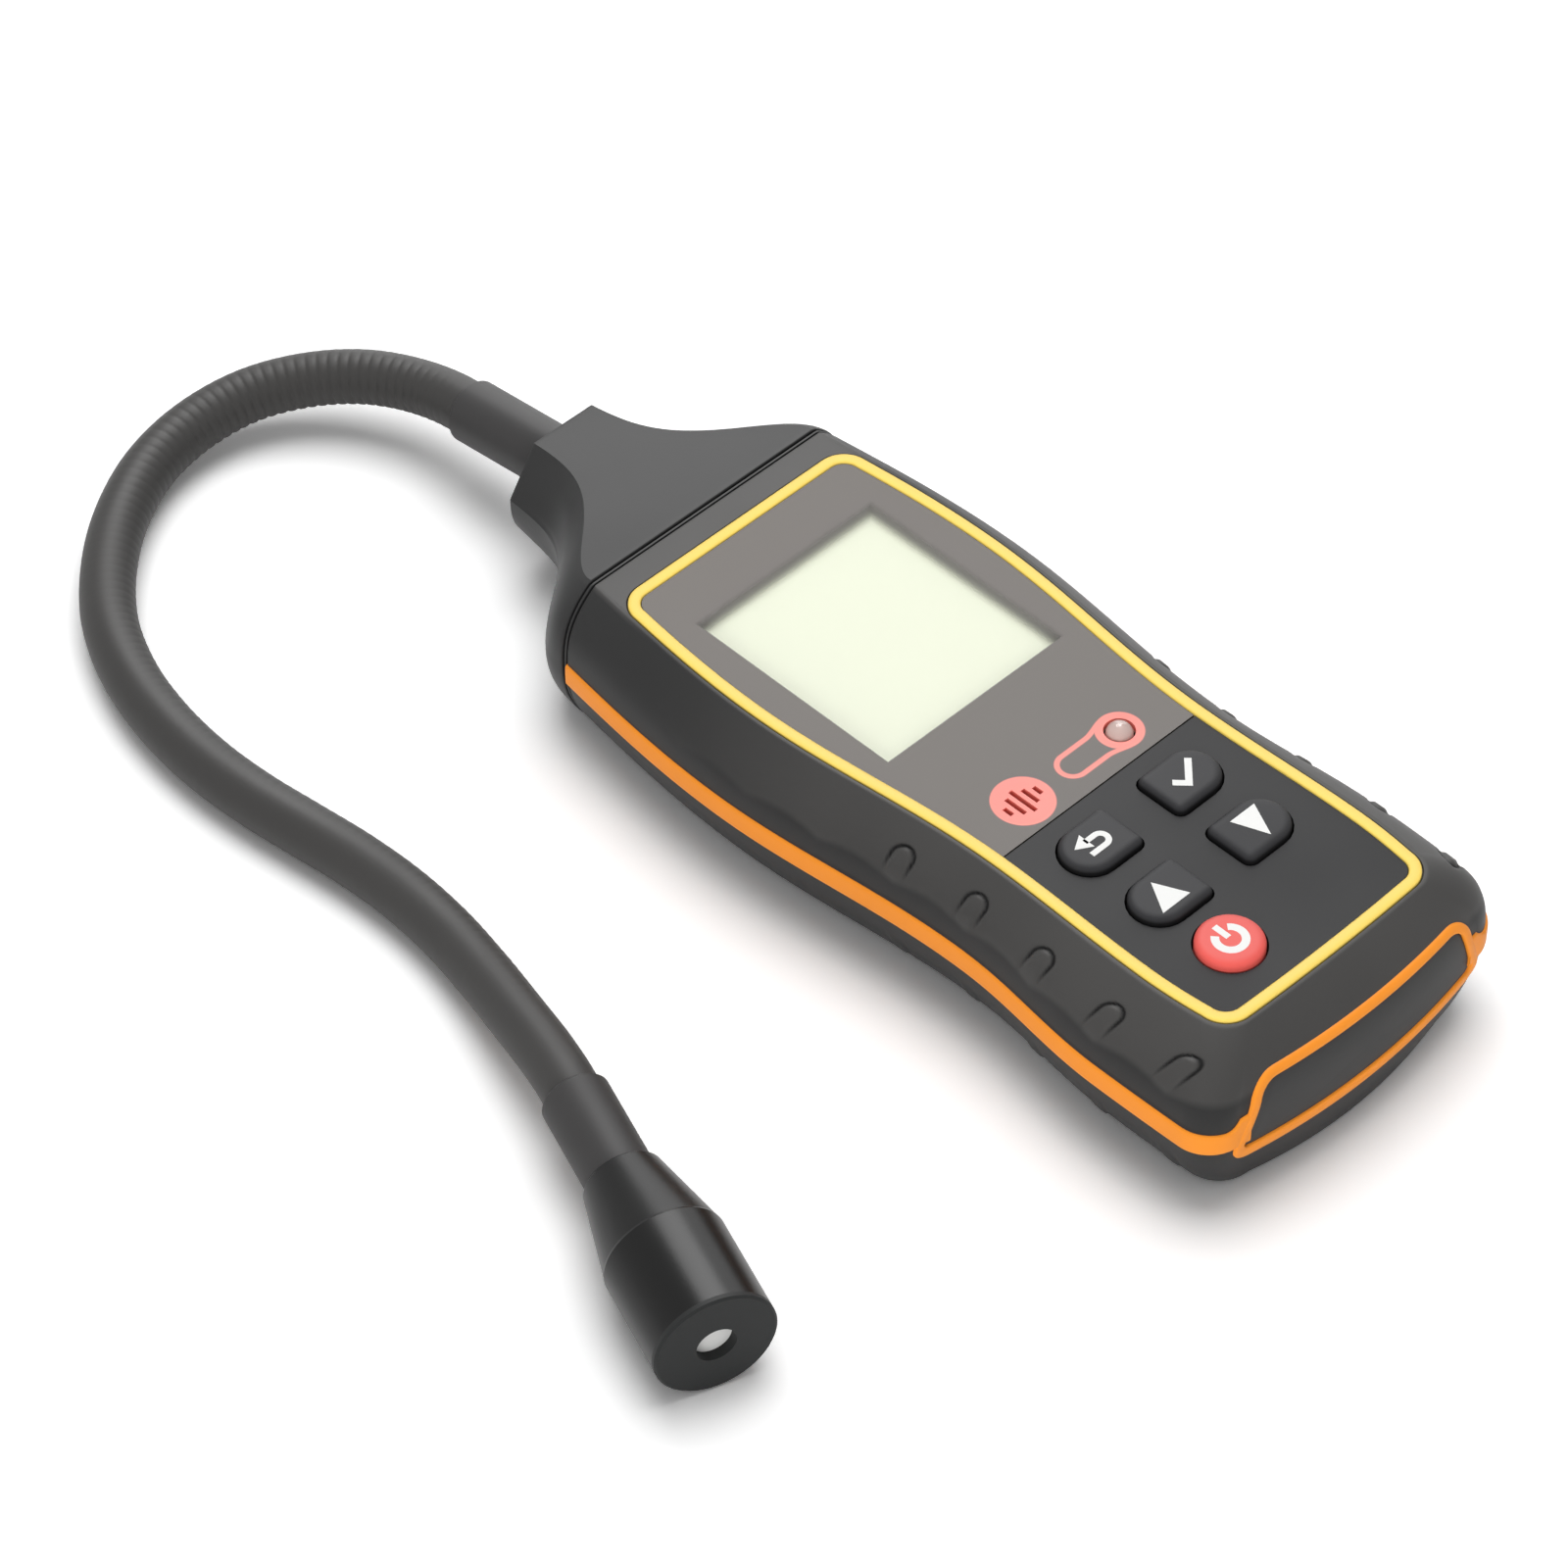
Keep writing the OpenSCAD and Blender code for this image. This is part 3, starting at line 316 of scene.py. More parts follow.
def band_plan(inset, tail_in):
    return both_halves(right_half(band_line, neck_y - inset, band_tail_y + tail_in,
                                  joint_r, corner_r, tail_bow, inset))


def upper_share(z):
    return 1 - (1 - (face_z - np.asarray(z, float)) / (face_z - band_z)) ** shoulder_power


def upper_ring(z, inset=0.0, tail_in=0.0):
    return level(mix(face_plan(inset, tail_in), band_plan(inset, tail_in), upper_share(z)), z)


ring_corner_r, ring_in, ring_neck_in = 5.5, 0.8, 5.7


def ring_plan(inset):
    """Outline of the yellow ring on the face, drawn in by an inset."""
    r = max(ring_corner_r - inset, 0)
    return both_halves(right_half(face_line, neck_y - ring_neck_in - inset, face_tail_y + ring_in + inset,
                                  r, r, face_bow, ring_in + inset))


print("outline:", len(ring_plan(0)), "points")

# %% [markdown]
# ## The upper shell
#
# This is the piece that the hand and the eye meet first: a moulded shell with
# a soft shoulder and five grip nubs on each side. A nub is a low pad with a
# line pressed round its upper end; it fades down the side and leans a little
# more from one nub to the next. Below them runs a shallow scalloped step that
# rises between the nubs. All of it is raised straight from the loft's own grid,
# so the pads flow into the shoulder with no seam.

# %% Grip nubs
nub_count, nub_pitch, nub_r, nub_high, nub_line = 5, 16.2, 1.95, 0.3, 0.45
nub_slope, nub_fade, line_off, line_w, nub_side_x = 0.9, 1.6, 0.3, 0.36, 20
nub_ys = [-nub_pitch * i for i in range(nub_count)]
nub_ls = [3.4 + 0.5 * i for i in range(nub_count)]
nub_leans = [0.14, 0.2, 0.28, 0.36, 0.44]


def outward(grid):
    """Unit normals of a grid of rings, pointing away from the middle line."""
    normal = np.cross(np.gradient(grid, axis=0), np.gradient(grid, axis=1))
    normal /= np.maximum(np.linalg.norm(normal, axis=2), 1e-9)[..., None]
    return normal * np.sign((normal * (grid * [1, 0, 0])).sum(2))[..., None]


def with_nubs(grid, nub_z, leans, line, fade_by):
    """How far each point of a grid is raised by the pads, and how deep it is in their pressed lines."""
    down = np.vstack([np.zeros((1, grid.shape[1])),
                      np.cumsum(np.linalg.norm(np.diff(grid, axis=0), axis=2), axis=0)])
    heights = grid[:, 0, 2]
    row = np.array([np.interp(-nub_z, -heights, down[:, c]) for c in range(grid.shape[1])])
    v = down - row[None, :]
    raised, pressed = np.zeros(v.shape), np.zeros(v.shape)
    for y, l, lean in zip(nub_ys, nub_ls, leans):
        u = grid[..., 1] - y - lean * v
        inside = nub_r - np.hypot(np.maximum(np.abs(v) - l / 2, 0), u)
        fade = 1 - smoothstep(-l / 2, l / 2 + nub_fade, fade_by * v)
        raised += fade * nub_high * smoothstep(0, nub_slope, inside)
        pressed += fade * np.exp(-((inside + line_off) / line_w) ** 2)
    raised -= line * pressed
    off_side = np.abs(grid[..., 0]) < nub_side_x
    raised[off_side] = pressed[off_side] = 0
    return raised, pressed


print("nubs:", nub_count, "on each side,", nub_pitch, "mm apart")

# %% Upper shell with grip nubs
SHELL_ROWS, row_power, upper_nub_z = 56, 1.25, 27.5
scallop_z, scallop_h, scallop_depth = 24.2, 1.2, 0.1
outer_z = face_z - (face_z - rim_hi) * np.linspace(0.02, 1, SHELL_ROWS) ** row_power
outer = np.array([upper_ring(z) for z in outer_z])
raised, nub_lines = with_nubs(outer, upper_nub_z, nub_leans, nub_line, 1)
scallop_line = scallop_z + scallop_h * np.abs(np.sin(np.pi * outer[..., 1] / nub_pitch))
scallop_reach = smoothstep(24, 8, outer[..., 1]) * smoothstep(-76, -70, outer[..., 1])
below_line = smoothstep(-0.9, 0.9, scallop_line - outer[..., 2]) * (outer[..., 2] > rim_hi + 0.6)
raised -= scallop_depth * scallop_reach * below_line
outer = outer + raised[..., None] * outward(outer)

recess_section = [(0, seat_z), (0, face_z - 0.75), (-0.22, face_z - 0.7),
                  (-0.22, face_z - 0.08), (-0.3, face_z)]
recess_rings = [level(ring_plan(inset), z) for inset, z in recess_section]
recess_rings += [upper_ring(face_z, 0.45, 0.45), upper_ring(face_z - 0.06, 0.16, 0.16)]
wall_rings = [upper_ring(mix(rim_hi, ceiling_z, t), wall, tail_wall) for t in (0, 0.25, 0.5, 0.75, 1)]
shell_rings = [*recess_rings, *outer, *wall_rings]
shell_points, shell_faces = loft(shell_rings)
shell_lines = np.zeros((len(shell_rings), outer.shape[1]))
shell_lines[len(recess_rings):len(recess_rings) + len(outer)] = nub_lines
print("upper shell:", len(shell_faces), "faces before its openings")

# %% [markdown]
# The shell has openings for the window, the keys, the lamp, the sounder and
# the tail loop, and bosses and posts inside. One Boolean modifier joins all the
# posts, a second takes out all the openings, and both tools are thrown away
# once they are applied.

# %% Outlines of the keys and the tail loop
key_x, key_rows, power_y = 11.1, (-24.9, -40.9), -55.7
key_w, key_l, key_corner_r, power_d, key_gap = 13.7, 10.8, 1.6, 12.2, 0.4
loop_z0, loop_z1, loop_strip, tail_seat_y = 10.4, 28.0, 2.1, -73.3
loop_foot_w, loop_foot_r, loop_top_w, loop_top_r = 30.5, 3.2, 27.5, 6.0
LOOP_N = 16


def key_plan(grow, side):
    """Outline of a key: a round end outwards and two small corners inwards."""
    r = key_corner_r
    x, y = key_w / 2 - r, key_l / 2 - r
    half = np.vstack([arc((x, y), r + grow, 90, 0, 8), arc((x, -y), r + grow, 0, -90, 8),
                      arc((-key_w / 2 + key_l / 2, 0), key_l / 2 + grow, -90, -270, 36)])
    return half * [-side, 1]


def circle(centre, r, count=48):
    return arc(centre, r, 0, 360 * (1 - 1 / count), count - 1)


def loop_plan(inset):
    """Outline of the tail loop, as (x, z)."""
    w0, w1 = loop_foot_w - inset, loop_top_w - inset
    z0, z1 = loop_z0 + 1.3 * inset, loop_z1 - 0.75 * inset
    r0, r1 = max(loop_foot_r - inset, 0.8), loop_top_r - inset
    top = arc((w1 - r1, z1 - r1), r1, 90, 10, 14)
    foot = arc((w0 - r0, z0 + r0), r0, 10, -90, 10)
    side = mix(top[-1], foot[0], np.linspace(0, 1, 9)[1:-1, None])
    across = (np.arange(LOOP_N) + 0.5)[:, None] / LOOP_N
    upper = np.hstack([across * top[0, 0], np.full((LOOP_N, 1), z1)])
    lower = np.hstack([across[::-1] * foot[-1, 0], np.full((LOOP_N, 1), z0)])
    return both_halves(np.vstack([upper, top, side, foot, lower]))


def upright(xz, y):
    """An (x, z) outline stood up at y, which is one number or one for each point."""
    return np.column_stack([xz[:, 0], np.broadcast_to(y, len(xz)), xz[:, 1]])


print("loop:", len(loop_plan(0)), "points; key:", len(key_plan(0, 1)), "points")

# %% Cutters and bosses
lamp_at, lamp_hole_r, sounder_at, sounder_hole_r = (11.9, -8.9), 2.85, (-11.9, -8.8), 4.5
past_tail_y, boss_root = -82.0, 0.5
screw_spots = [(x, y) for x in (-22.5, 22.5) for y in (69.5, -67.2)]
post_spots = [(x, y) for x in (-26.5, 26.5) for y in (-57.5, -1.5, 61.0)]
boss_r, boss_hole_r, boss_hole_l, boss_z = 3.6, 1.5, 6, rim_hi - 3
post_r, post_hole_r, post_hole_l, board_top = 2.0, 0.8, 2.5, ceiling_z - 3.8


def prism(outline, z0, z1):
    return loft([level(outline, z0), level(outline, z1)])


def rectangle(x, y0, y1):
    return np.array([(-x, y0), (x, y0), (x, y1), (-x, y1)])


def through_face(outline):
    """A cutter through the seat of the lens and the key panel."""
    return prism(outline, ceiling_z - 1, seat_z + 1)


cutters = [through_face(rectangle(22.7, 12.7, 61.9))]
for side in (-1, 1):
    cutters += [through_face(key_plan(key_gap, side) + [side * key_x, y]) for y in key_rows]
round_holes = [((-key_x, power_y), power_d / 2 + key_gap),
               (lamp_at, lamp_hole_r), (sounder_at, sounder_hole_r)]
cutters += [through_face(circle(centre, r)) for centre, r in round_holes]
tail_opening = loft([upright(loop_plan(1.0), y) for y in (tail_seat_y, past_tail_y)])
cutters.append(tail_opening)
cutters += [prism(circle(spot, boss_hole_r), boss_z - 1, boss_z + boss_hole_l) for spot in screw_spots]
cutters += [prism(circle(spot, post_hole_r), board_top - 1, board_top + post_hole_l) for spot in post_spots]
posts = [prism(circle(spot, boss_r), boss_z, ceiling_z + boss_root) for spot in screw_spots]
posts += [prism(circle(spot, post_r), board_top, ceiling_z + boss_root) for spot in post_spots]
print("cutters:", len(cutters), "bosses and posts:", len(posts))


# %% Upper shell with its openings
def carve(piece, added, taken):
    """Joins one tool's solids to the piece, takes another's out, and throws both tools away."""
    for kind, tool in (("UNION", added), ("DIFFERENCE", taken)):
        step = piece.modifiers.new("carve", "BOOLEAN")
        step.operation, step.solver, step.object = kind, "EXACT", tool
    shape = piece.evaluated_get(bpy.context.evaluated_depsgraph_get())
    made = bpy.data.meshes.new_from_object(shape)
    piece.modifiers.clear()
    piece.data = made
    shade(made)
    for tool in (added, taken):
        bpy.data.objects.remove(tool)


cutter = new_piece("shell_cutter", *joined(*cutters))
bosses = new_piece("shell_bosses", *joined(*posts))
upper_shell = new_piece("upper_shell", shell_points, shell_faces, pressed=shell_lines.ravel())
carve(upper_shell, bosses, cutter)
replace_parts(upper_shell, "front_case")
tell(upper_shell)

# %% [markdown]
# ## The neck
#
# The neck carries the shape of the case down to the narrow end that holds the
# probe. Its section changes from the case's full width to a small form with a
# flat top, straight shoulders down to a ridge on each side, and a round foot.
# The two sections share one list of points and are mixed along the length. The
# double line at the joint is cut as two grooves.

# %% Sections of the neck
neck_flat, neck_end_w, neck_end_h, neck_foot_power = 7.0, 27.0, 20.0, 2.6
joint_zs = [34, 31.96, 28.9, 24.65, 20.4, 17, 11.05, 5.95, 1.7, 0]
end_heights = [1, 0.9, 0.6, 0.35, 0.12, 0, -0.35, -0.62, -0.88, -1]
top_round, foot_round = 0.4, 1.2
hold_low, hold_high, fall_low, fall_high = 0.45, 0.42, 3, 1.8
SECTION_STEPS = 7


def curve_through(values, q):
    """Values at whole steps joined by a smooth curve, read at q."""
    values = np.asarray(values, float)
    i = np.clip(np.floor(q).astype(int), 0, len(values) - 2)
    t = q - i
    a, b = values[np.maximum(i - 1, 0)], values[i]
    c, d = values[i + 1], values[np.minimum(i + 2, len(values) - 1)]
    return 0.5 * (2 * b + (c - a) * t + (2 * a - 5 * b + 4 * c - d) * t ** 2
                  + (3 * b - a - 3 * c + d) * t ** 3)


spans = len(joint_zs) - 1
section_q = np.linspace(0, spans, spans * SECTION_STEPS + 1)
joint_z = np.clip(curve_through(joint_zs, section_q), 0, face_z)


def lower_share(z):
    return ((band_z - z) / band_z) ** 2


def side_x(y, z):
    """Half width of the case at a place on its side."""
    upper = mix(half_width(y, face_line), half_width(y, band_line), upper_share(np.maximum(z, band_z)))
    lower = mix(half_width(y, band_line), half_width(y, base_line), lower_share(np.minimum(z, band_z)))
    return np.where(z > band_z, upper, lower)


def joint_section(inset):
    """Half section where the neck meets the case."""
    edge = top_round * (joint_z > face_z - 0.2) + foot_round * (1 - smoothstep(0, foot_round, joint_z))
    return side_x(neck_y, joint_z) - inset - edge, np.clip(joint_z, inset, face_z - inset)


def end_section(inset):
    """Half section at the neck's end: straight shoulders down to a ridge, and a round foot below it."""
    u = np.clip(curve_through(end_heights, section_q), -1, 1)
    foot = (1 - np.abs(np.minimum(u, 0)) ** neck_foot_power) ** (1 / neck_foot_power)
    w = mix(neck_flat, neck_end_w / 2, np.where(u > 0, 1 - u, foot))
    return w - inset * np.minimum(1, w / 10), probe_z + u * (neck_end_h / 2 - inset)


def neck_ring(t, y, inset=0.0):
    """One section of the neck, t from 0 at the case to 1 at its end."""
    (jx, jz), (ex, ez) = joint_section(inset), end_section(inset)
    u = joint_z / face_z
    share = np.exp(-(t / mix(hold_low, hold_high, u)) ** mix(fall_low, fall_high, u))
    half = np.column_stack([mix(ex, jx, share), np.full(len(jx), y), mix(jz, ez, t)])
    return np.vstack([half, half[::-1] * [-1, 1, 1]])


print("neck section:", 2 * len(section_q), "points")

# %% Neck
groove_w, groove_line, groove_deep = 1.3, 0.4, 1.1
second_line = groove_w - groove_line
joint_groove = [(0, groove_deep), (groove_line, groove_deep), (groove_line + 0.02, 0.3),
                (groove_line + 0.1, 0.2), (second_line - 0.1, 0.2), (second_line - 0.02, 0.3),
                (second_line, groove_deep), (groove_w - 0.02, groove_deep), (groove_w, 0.25),
                (groove_w + 0.12, 0.06)]
NECK_ROWS = 70
neck_start = neck_y + groove_w + 0.4
neck_rings = [neck_ring(0, neck_y + y, inset) for y, inset in joint_groove]
neck_rings += [neck_ring(t, mix(neck_start, neck_end_y - 0.35, t)) for t in np.linspace(0, 1, NECK_ROWS)]
neck_rings += [neck_ring(1, neck_end_y - 0.1, 0.12), neck_ring(1, neck_end_y, 0.4)]
neck = new_piece("neck_shell", *loft(neck_rings), sharp=24)
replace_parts(neck, "probe_neck")
tell(neck)

# %% [markdown]
# ## The lower shell
#
# The lower shell is the same kind of loft turned over: it draws in towards the
# foot and carries the lower ends of the grip nubs. Inside it has the walls of
# the battery bay and four screw bosses; below, the recess for the door.

# %% Lower shell
floor_t, foot_z, foot_tail_in = 3.0, 1.0, 2.6
lower_nub_z, lower_line = 7.0, 0.12


def base_plan(inset, tail_in):
    return both_halves(right_half(base_line, neck_y - inset, -(tail_y - tail_bow - foot_tail_in) + tail_in,
                                  joint_r, corner_r, tail_bow, inset))


def lower_ring(z, inset=0.0, tail_in=0.0):
    return level(mix(band_plan(inset, tail_in), base_plan(inset, tail_in), lower_share(z)), z)


under = np.array([lower_ring(z) for z in np.linspace(rim_lo, foot_z, 36)])
lifted, _ = with_nubs(under, lower_nub_z, [0] * nub_count, lower_line, -1)
under = under + lifted[..., None] * outward(under)
foot = []
for a in np.linspace(0, np.pi / 2, 6)[1:]:
    drawn_in = foot_round * (1 - math.cos(a))
    foot.append(lower_ring(foot_z * (1 - math.sin(a)), drawn_in, drawn_in))
inside = [lower_ring(z, wall, tail_wall) for z in np.linspace(floor_t, rim_lo, 5)]
lower_shell = new_piece("lower_shell", *loft([*inside, *under, *foot]))
tell(lower_shell)

# %% Battery bay and screw holes
bay_x, bay_y0, bay_y1, bay_top, bay_wall = 23.2, -61.0, -4.0, rim_lo + 4, 1.5
door_lip, door_top = 2.0, 2.1
screw_z, screw_head_r, screw_r = 2.2, 3.0, 1.7
bay_outside = rectangle(bay_x + bay_wall, bay_y0 - bay_wall, bay_y1 + bay_wall)
bay_walls = prism(bay_outside, floor_t - boss_root, bay_top)
lower_bosses = [prism(circle(spot, boss_r), floor_t - boss_root, boss_z) for spot in screw_spots]
openings = [prism(rectangle(bay_x, bay_y0, bay_y1), -1, bay_top + 1),
            prism(rectangle(bay_x + door_lip, bay_y0 - door_lip, bay_y1 + door_lip), -1, door_top),
            tail_opening]
for spot in screw_spots:
    openings += [prism(circle(spot, screw_head_r), -1, screw_z), prism(circle(spot, screw_r), 0, rim_hi)]
carve(lower_shell, new_piece("lower_bosses", *joined(bay_walls, *lower_bosses)),
      new_piece("lower_openings", *joined(*openings)))
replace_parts(lower_shell, "rear_case")
tell(lower_shell)

# %% [markdown]
# ## The orange band and the tail loop
#
# A soft orange strip runs along both sides and turns into a loop round the
# tail, moulded in one piece. The strip is a loft across its own small
# section, so its edges can be rounded; the loop follows the bowed tail.

# %% Side strips
band_section = [(wall, rim_hi), (0.1, rim_hi), (-0.18, rim_hi - 0.05), (-0.4, rim_hi - 0.3),
                (-0.47, rim_hi - 0.8), (-0.48, band_z), (-0.47, rim_lo + 0.8), (-0.4, rim_lo + 0.3),
                (-0.18, rim_lo + 0.05), (0.1, rim_lo), (wall, rim_lo)]
strip_end_x, bow_half_x = 27.5, 29.6
flare_from, flare_l, flare_power, flare_h = 1.8, 3.8, 2.4, 2.2


def band_run(inset):
    """One side of the band seen from above, from the neck round to the tail loop."""
    half = right_half(band_line, neck_y, band_tail_y + inset, 0, corner_r - inset, 0, inset)
    end_y = band_tail_y - tail_bow * (1 - (strip_end_x / bow_half_x) ** 2) + inset
    return np.vstack([half, [(strip_end_x, end_y)]])


strip = np.array([level(band_run(inset), z) for inset, z in band_section]).transpose(1, 0, 2)
strip = strip[CORNER_N:]
middle = strip[::-1, len(band_section) // 2]
to_end = np.cumsum(np.linalg.norm(np.diff(middle, axis=0, prepend=middle[:1]), axis=1))[::-1]
flare = np.clip(1 - (to_end - flare_from) / flare_l, 0, 1) ** flare_power
strip[..., 2] += flare_h * flare[:, None] * (strip[..., 2] > band_z + 0.1)
strips = [loft(strip), loft(strip * [-1, 1, 1])]
print("strip:", len(strip), "sections")

# %% Tail loop
tail_from_y = -55


def tail_y_at(x, z):
    """The tail surface of the case at (x, z)."""
    found = []
    for xi, zi in zip(x, z):
        if zi > band_z:
            ring = mix(face_plan(0, 0), band_plan(0, 0), upper_share(zi))
        else:
            ring = mix(band_plan(0, 0), base_plan(0, 0), lower_share(zi))
        tail = ring[ring[:, 1] < tail_from_y]
        order = np.argsort(tail[:, 0])
        found.append(np.interp(xi, tail[order, 0], tail[order, 1]))
    return np.array(found)


def on_tail(xz, proud):
    """An (x, z) outline laid on the tail, standing proud of it."""
    return upright(xz, tail_y_at(xz[:, 0], xz[:, 1]) - proud)


loop_section = [(0, -1.6), (0, 0.25), (0.12, 0.45), (0.4, 0.57), (1.05, 0.6), (1.7, 0.57), (1.98, 0.45),
                (loop_strip, 0.25), (loop_strip, -1.6)]
tail_loop = loft([on_tail(loop_plan(inset), proud) for inset, proud in loop_section], closed=True)
band = new_piece("orange_band", *joined(*strips, tail_loop), sharp=50)
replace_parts(band, "side_band")
tell(band)

# %% End plate
plate_edge = loop_plan(loop_strip)
plate_middle = np.array([0.0, (loop_z0 + loop_z1) / 2])
plate_rows = [upright(plate_edge, tail_seat_y)]
for size, sink in ((1, 0.3), (0.995, 0.1), (0.98, 0), (0.9, 0), (0.75, 0), (0.55, 0), (0.35, 0), (0.12, 0)):
    plate_rows.append(on_tail(plate_middle + (plate_edge - plate_middle) * size, -sink))
tail_plate = new_piece("tail_plate", *loft(plate_rows), sharp=40)
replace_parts(tail_plate, "end_plate")
tell(tail_plate)

# %% [markdown]
# ## The yellow ring
#
# A slim ring with soft edges frames the face. It is a closed loft: its section
# is a flat arch on two straight legs that sit in the recess of the shell, with
# a hair of a gap on either side that reads as a dark line.

# %% Yellow ring
ring_w, ring_gap, ring_leg = 2.3, 0.03, 0.8
arch_foot, arch_rise, arch_power = 0.15, 0.6, 0.4
ring_half = ring_w / 2 - ring_gap
ring_section = [(0.0, seat_z), (0.0, face_z - ring_leg)]
for a in np.linspace(0, np.pi, 13):
    lift = arch_rise * math.sin(a) ** arch_power
    ring_section.append((ring_w / 2 - ring_half * math.cos(a), face_z - arch_foot + lift))
ring_section += [(ring_w, face_z - ring_leg), (ring_w, seat_z)]
ring_rows = [level(ring_plan(inset), z) for inset, z in ring_section]
face_trim = new_piece("face_trim", *loft(ring_rows, closed=True), sharp=60)
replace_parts(face_trim, "face_ring")
tell(face_trim)

# %% [markdown]
# ## The keys
#
# Four soft keys have one round end, and the power key is round. Each is a
# loft with a rolled upper edge and a slightly crowned top. Its mark is a thin
# slab of white print that goes down with the key.

# %% Keys
key_top, key_crown, flange_top, flange_foot, flange_out = 35.52, 0.02, 29.5, 28.5, 1.2
key_edge = [(-1.5, -0.02), (-1.05, -0.08), (-0.66, -0.2), (-0.34, -0.4), (-0.1, -0.72), (0.0, -1.1)]


def key_rings(outline_at, centre):
    """Rings of a key from the middle of its top down to its flange."""
    rim = np.asarray(outline_at(key_edge[0][0])) - centre
    rings = [level(centre + rim * s, key_top - key_crown * s * s) for s in (0.15, 0.45, 0.75, 0.92)]
    rings += [level(outline_at(grow), key_top + z) for grow, z in key_edge]
    return rings + [level(outline_at(0), flange_top), level(outline_at(flange_out), flange_top),
                    level(outline_at(flange_out), flange_foot)]


soft_keys = {"key_back": (-1, 0), "key_enter": (1, 0), "key_up": (-1, 1), "key_down": (1, 1)}
key_pieces = {}
for name, (side, row) in soft_keys.items():
    centre = np.array([side * key_x, key_rows[row]])
    rings = key_rings(lambda grow: key_plan(grow, side) + centre, centre)
    piece = new_piece(name.replace("key", "soft_key"), *loft(rings), body=name, sharp=50)
    key_pieces[name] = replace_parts(piece, name)
power_at = np.array([-key_x, power_y])
rings = key_rings(lambda grow: circle(power_at, power_d / 2 + grow, 64), power_at)
power_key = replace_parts(new_piece("round_key_power", *loft(rings), body="key_power", sharp=50), "key_power")
print("keys:", sorted(key_pieces), "and the power key")

# %% Marks on the keys
print_sink, print_proud = 0.25, 0.05


def stroke(points, width):
    """A line of even width as one closed outline."""
    p = np.asarray(points, float)
    d = np.gradient(p, axis=0)
    d /= np.linalg.norm(d, axis=1)[:, None]
    side = np.column_stack([-d[:, 1], d[:, 0]]) * width / 2
    return np.vstack([p + side, (p - side)[::-1]])


def printed(name, outlines, body):
    """White print: thin slabs let into the top of a key."""
    slabs = [prism(o, key_top - print_sink, key_top + print_proud) for o in outlines]
    return new_piece(name, *joined(*slabs), body=body)


marks = [
    printed("mark_up", [[(-14.9, -44.0), (-8.3, -44.0), (-11.3, -37.8)]], "key_up"),
    printed("mark_down", [[(8.4, -37.7), (14.4, -37.7), (11.2, -44.5)]], "key_down"),
]
back_at = np.array([-key_x, key_rows[0]])
hook = np.vstack([[(-1.4, 1.2), (1.0, 1.2)], arc((1.0, -0.2), 1.4, 84, -84, 14), [(1.0, -1.6), (-2.6, -1.6)]])
arrow = np.array([(-0.9, 3.0), (-0.9, -0.6), (-3.9, 1.2)])
marks.append(printed("mark_back", [stroke(hook, 1.1) + back_at, arrow + back_at], "key_back"))
enter_at = np.array([key_x, key_rows[0]])
tick = np.array([(-3.4, 0.1), (-2.5, 1.0), (-1.0, -0.6), (2.7, 3.1), (3.6, 2.2), (-1.0, -2.4)])
marks.append(printed("mark_enter", [tick + enter_at - [0, 0.3]], "key_enter"))
power_arc = stroke(arc(power_at, 2.6, 90 + 36, 90 + 324, 40), 1.45)
power_bar = power_at + np.array([(-0.6, 0.4), (0.6, 0.4), (0.6, 3.7), (-0.6, 3.7)])
marks.append(printed("mark_power", [power_arc, power_bar], "key_power"))
print("marks:", [m.name for m in marks])

# %% [markdown]
# ## Finishes
#
# Injection-moulded plastic is never one flat colour: the tool leaves a fine
# spark texture, and handling polishes some areas a little. Both come from one
# node group, placed in each material with its own scale.

# %% The moulded-skin group
GRAIN_SCALE, PATCH_SCALE = 1800.0, 22.0


def shader_group(name, inputs, outputs):
    """An empty node group with named sockets, and its two end nodes."""
    group = bpy.data.node_groups.new(name, "ShaderNodeTree")
    for label, value in inputs:
        socket = group.interface.new_socket(label, in_out="INPUT", socket_type="NodeSocketFloat")
        socket.default_value = value
    for label in outputs:
        group.interface.new_socket(label, in_out="OUTPUT", socket_type="NodeSocketFloat")
    return group, group.nodes.new("NodeGroupInput"), group.nodes.new("NodeGroupOutput")


skin_group, skin_in, skin_out = shader_group(
    "moulded_skin", [("Grain Scale", GRAIN_SCALE), ("Patch Scale", PATCH_SCALE)], ["Grain", "Patch"])
place = skin_group.nodes.new("ShaderNodeTexCoord")
for label, detail in (("Grain", 3.0), ("Patch", 2.0)):
    noise = skin_group.nodes.new("ShaderNodeTexNoise")
    noise.inputs["Detail"].default_value = detail
    skin_group.links.new(place.outputs["Object"], noise.inputs["Vector"])
    skin_group.links.new(skin_in.outputs[label + " Scale"], noise.inputs["Scale"])
    skin_group.links.new(noise.outputs["Fac"], skin_out.inputs[label])
print("group:", skin_group.name)


# %% Node helpers
def colour(hex_code):
    """A linear colour from a six-figure screen colour."""
    parts = [int(hex_code[i:i + 2], 16) / 255 for i in (0, 2, 4)]
    return (*[p / 12.92 if p <= 0.04045 else ((p + 0.055) / 1.055) ** 2.4 for p in parts], 1.0)


def shaded(c, by):
    return (c[0] * by, c[1] * by, c[2] * by, 1.0)


def blank(name):
    """A material with only its shader."""
    made = bpy.data.materials.new(name)
    made.use_nodes = True
    return made, made.node_tree, made.node_tree.nodes["Principled BSDF"]


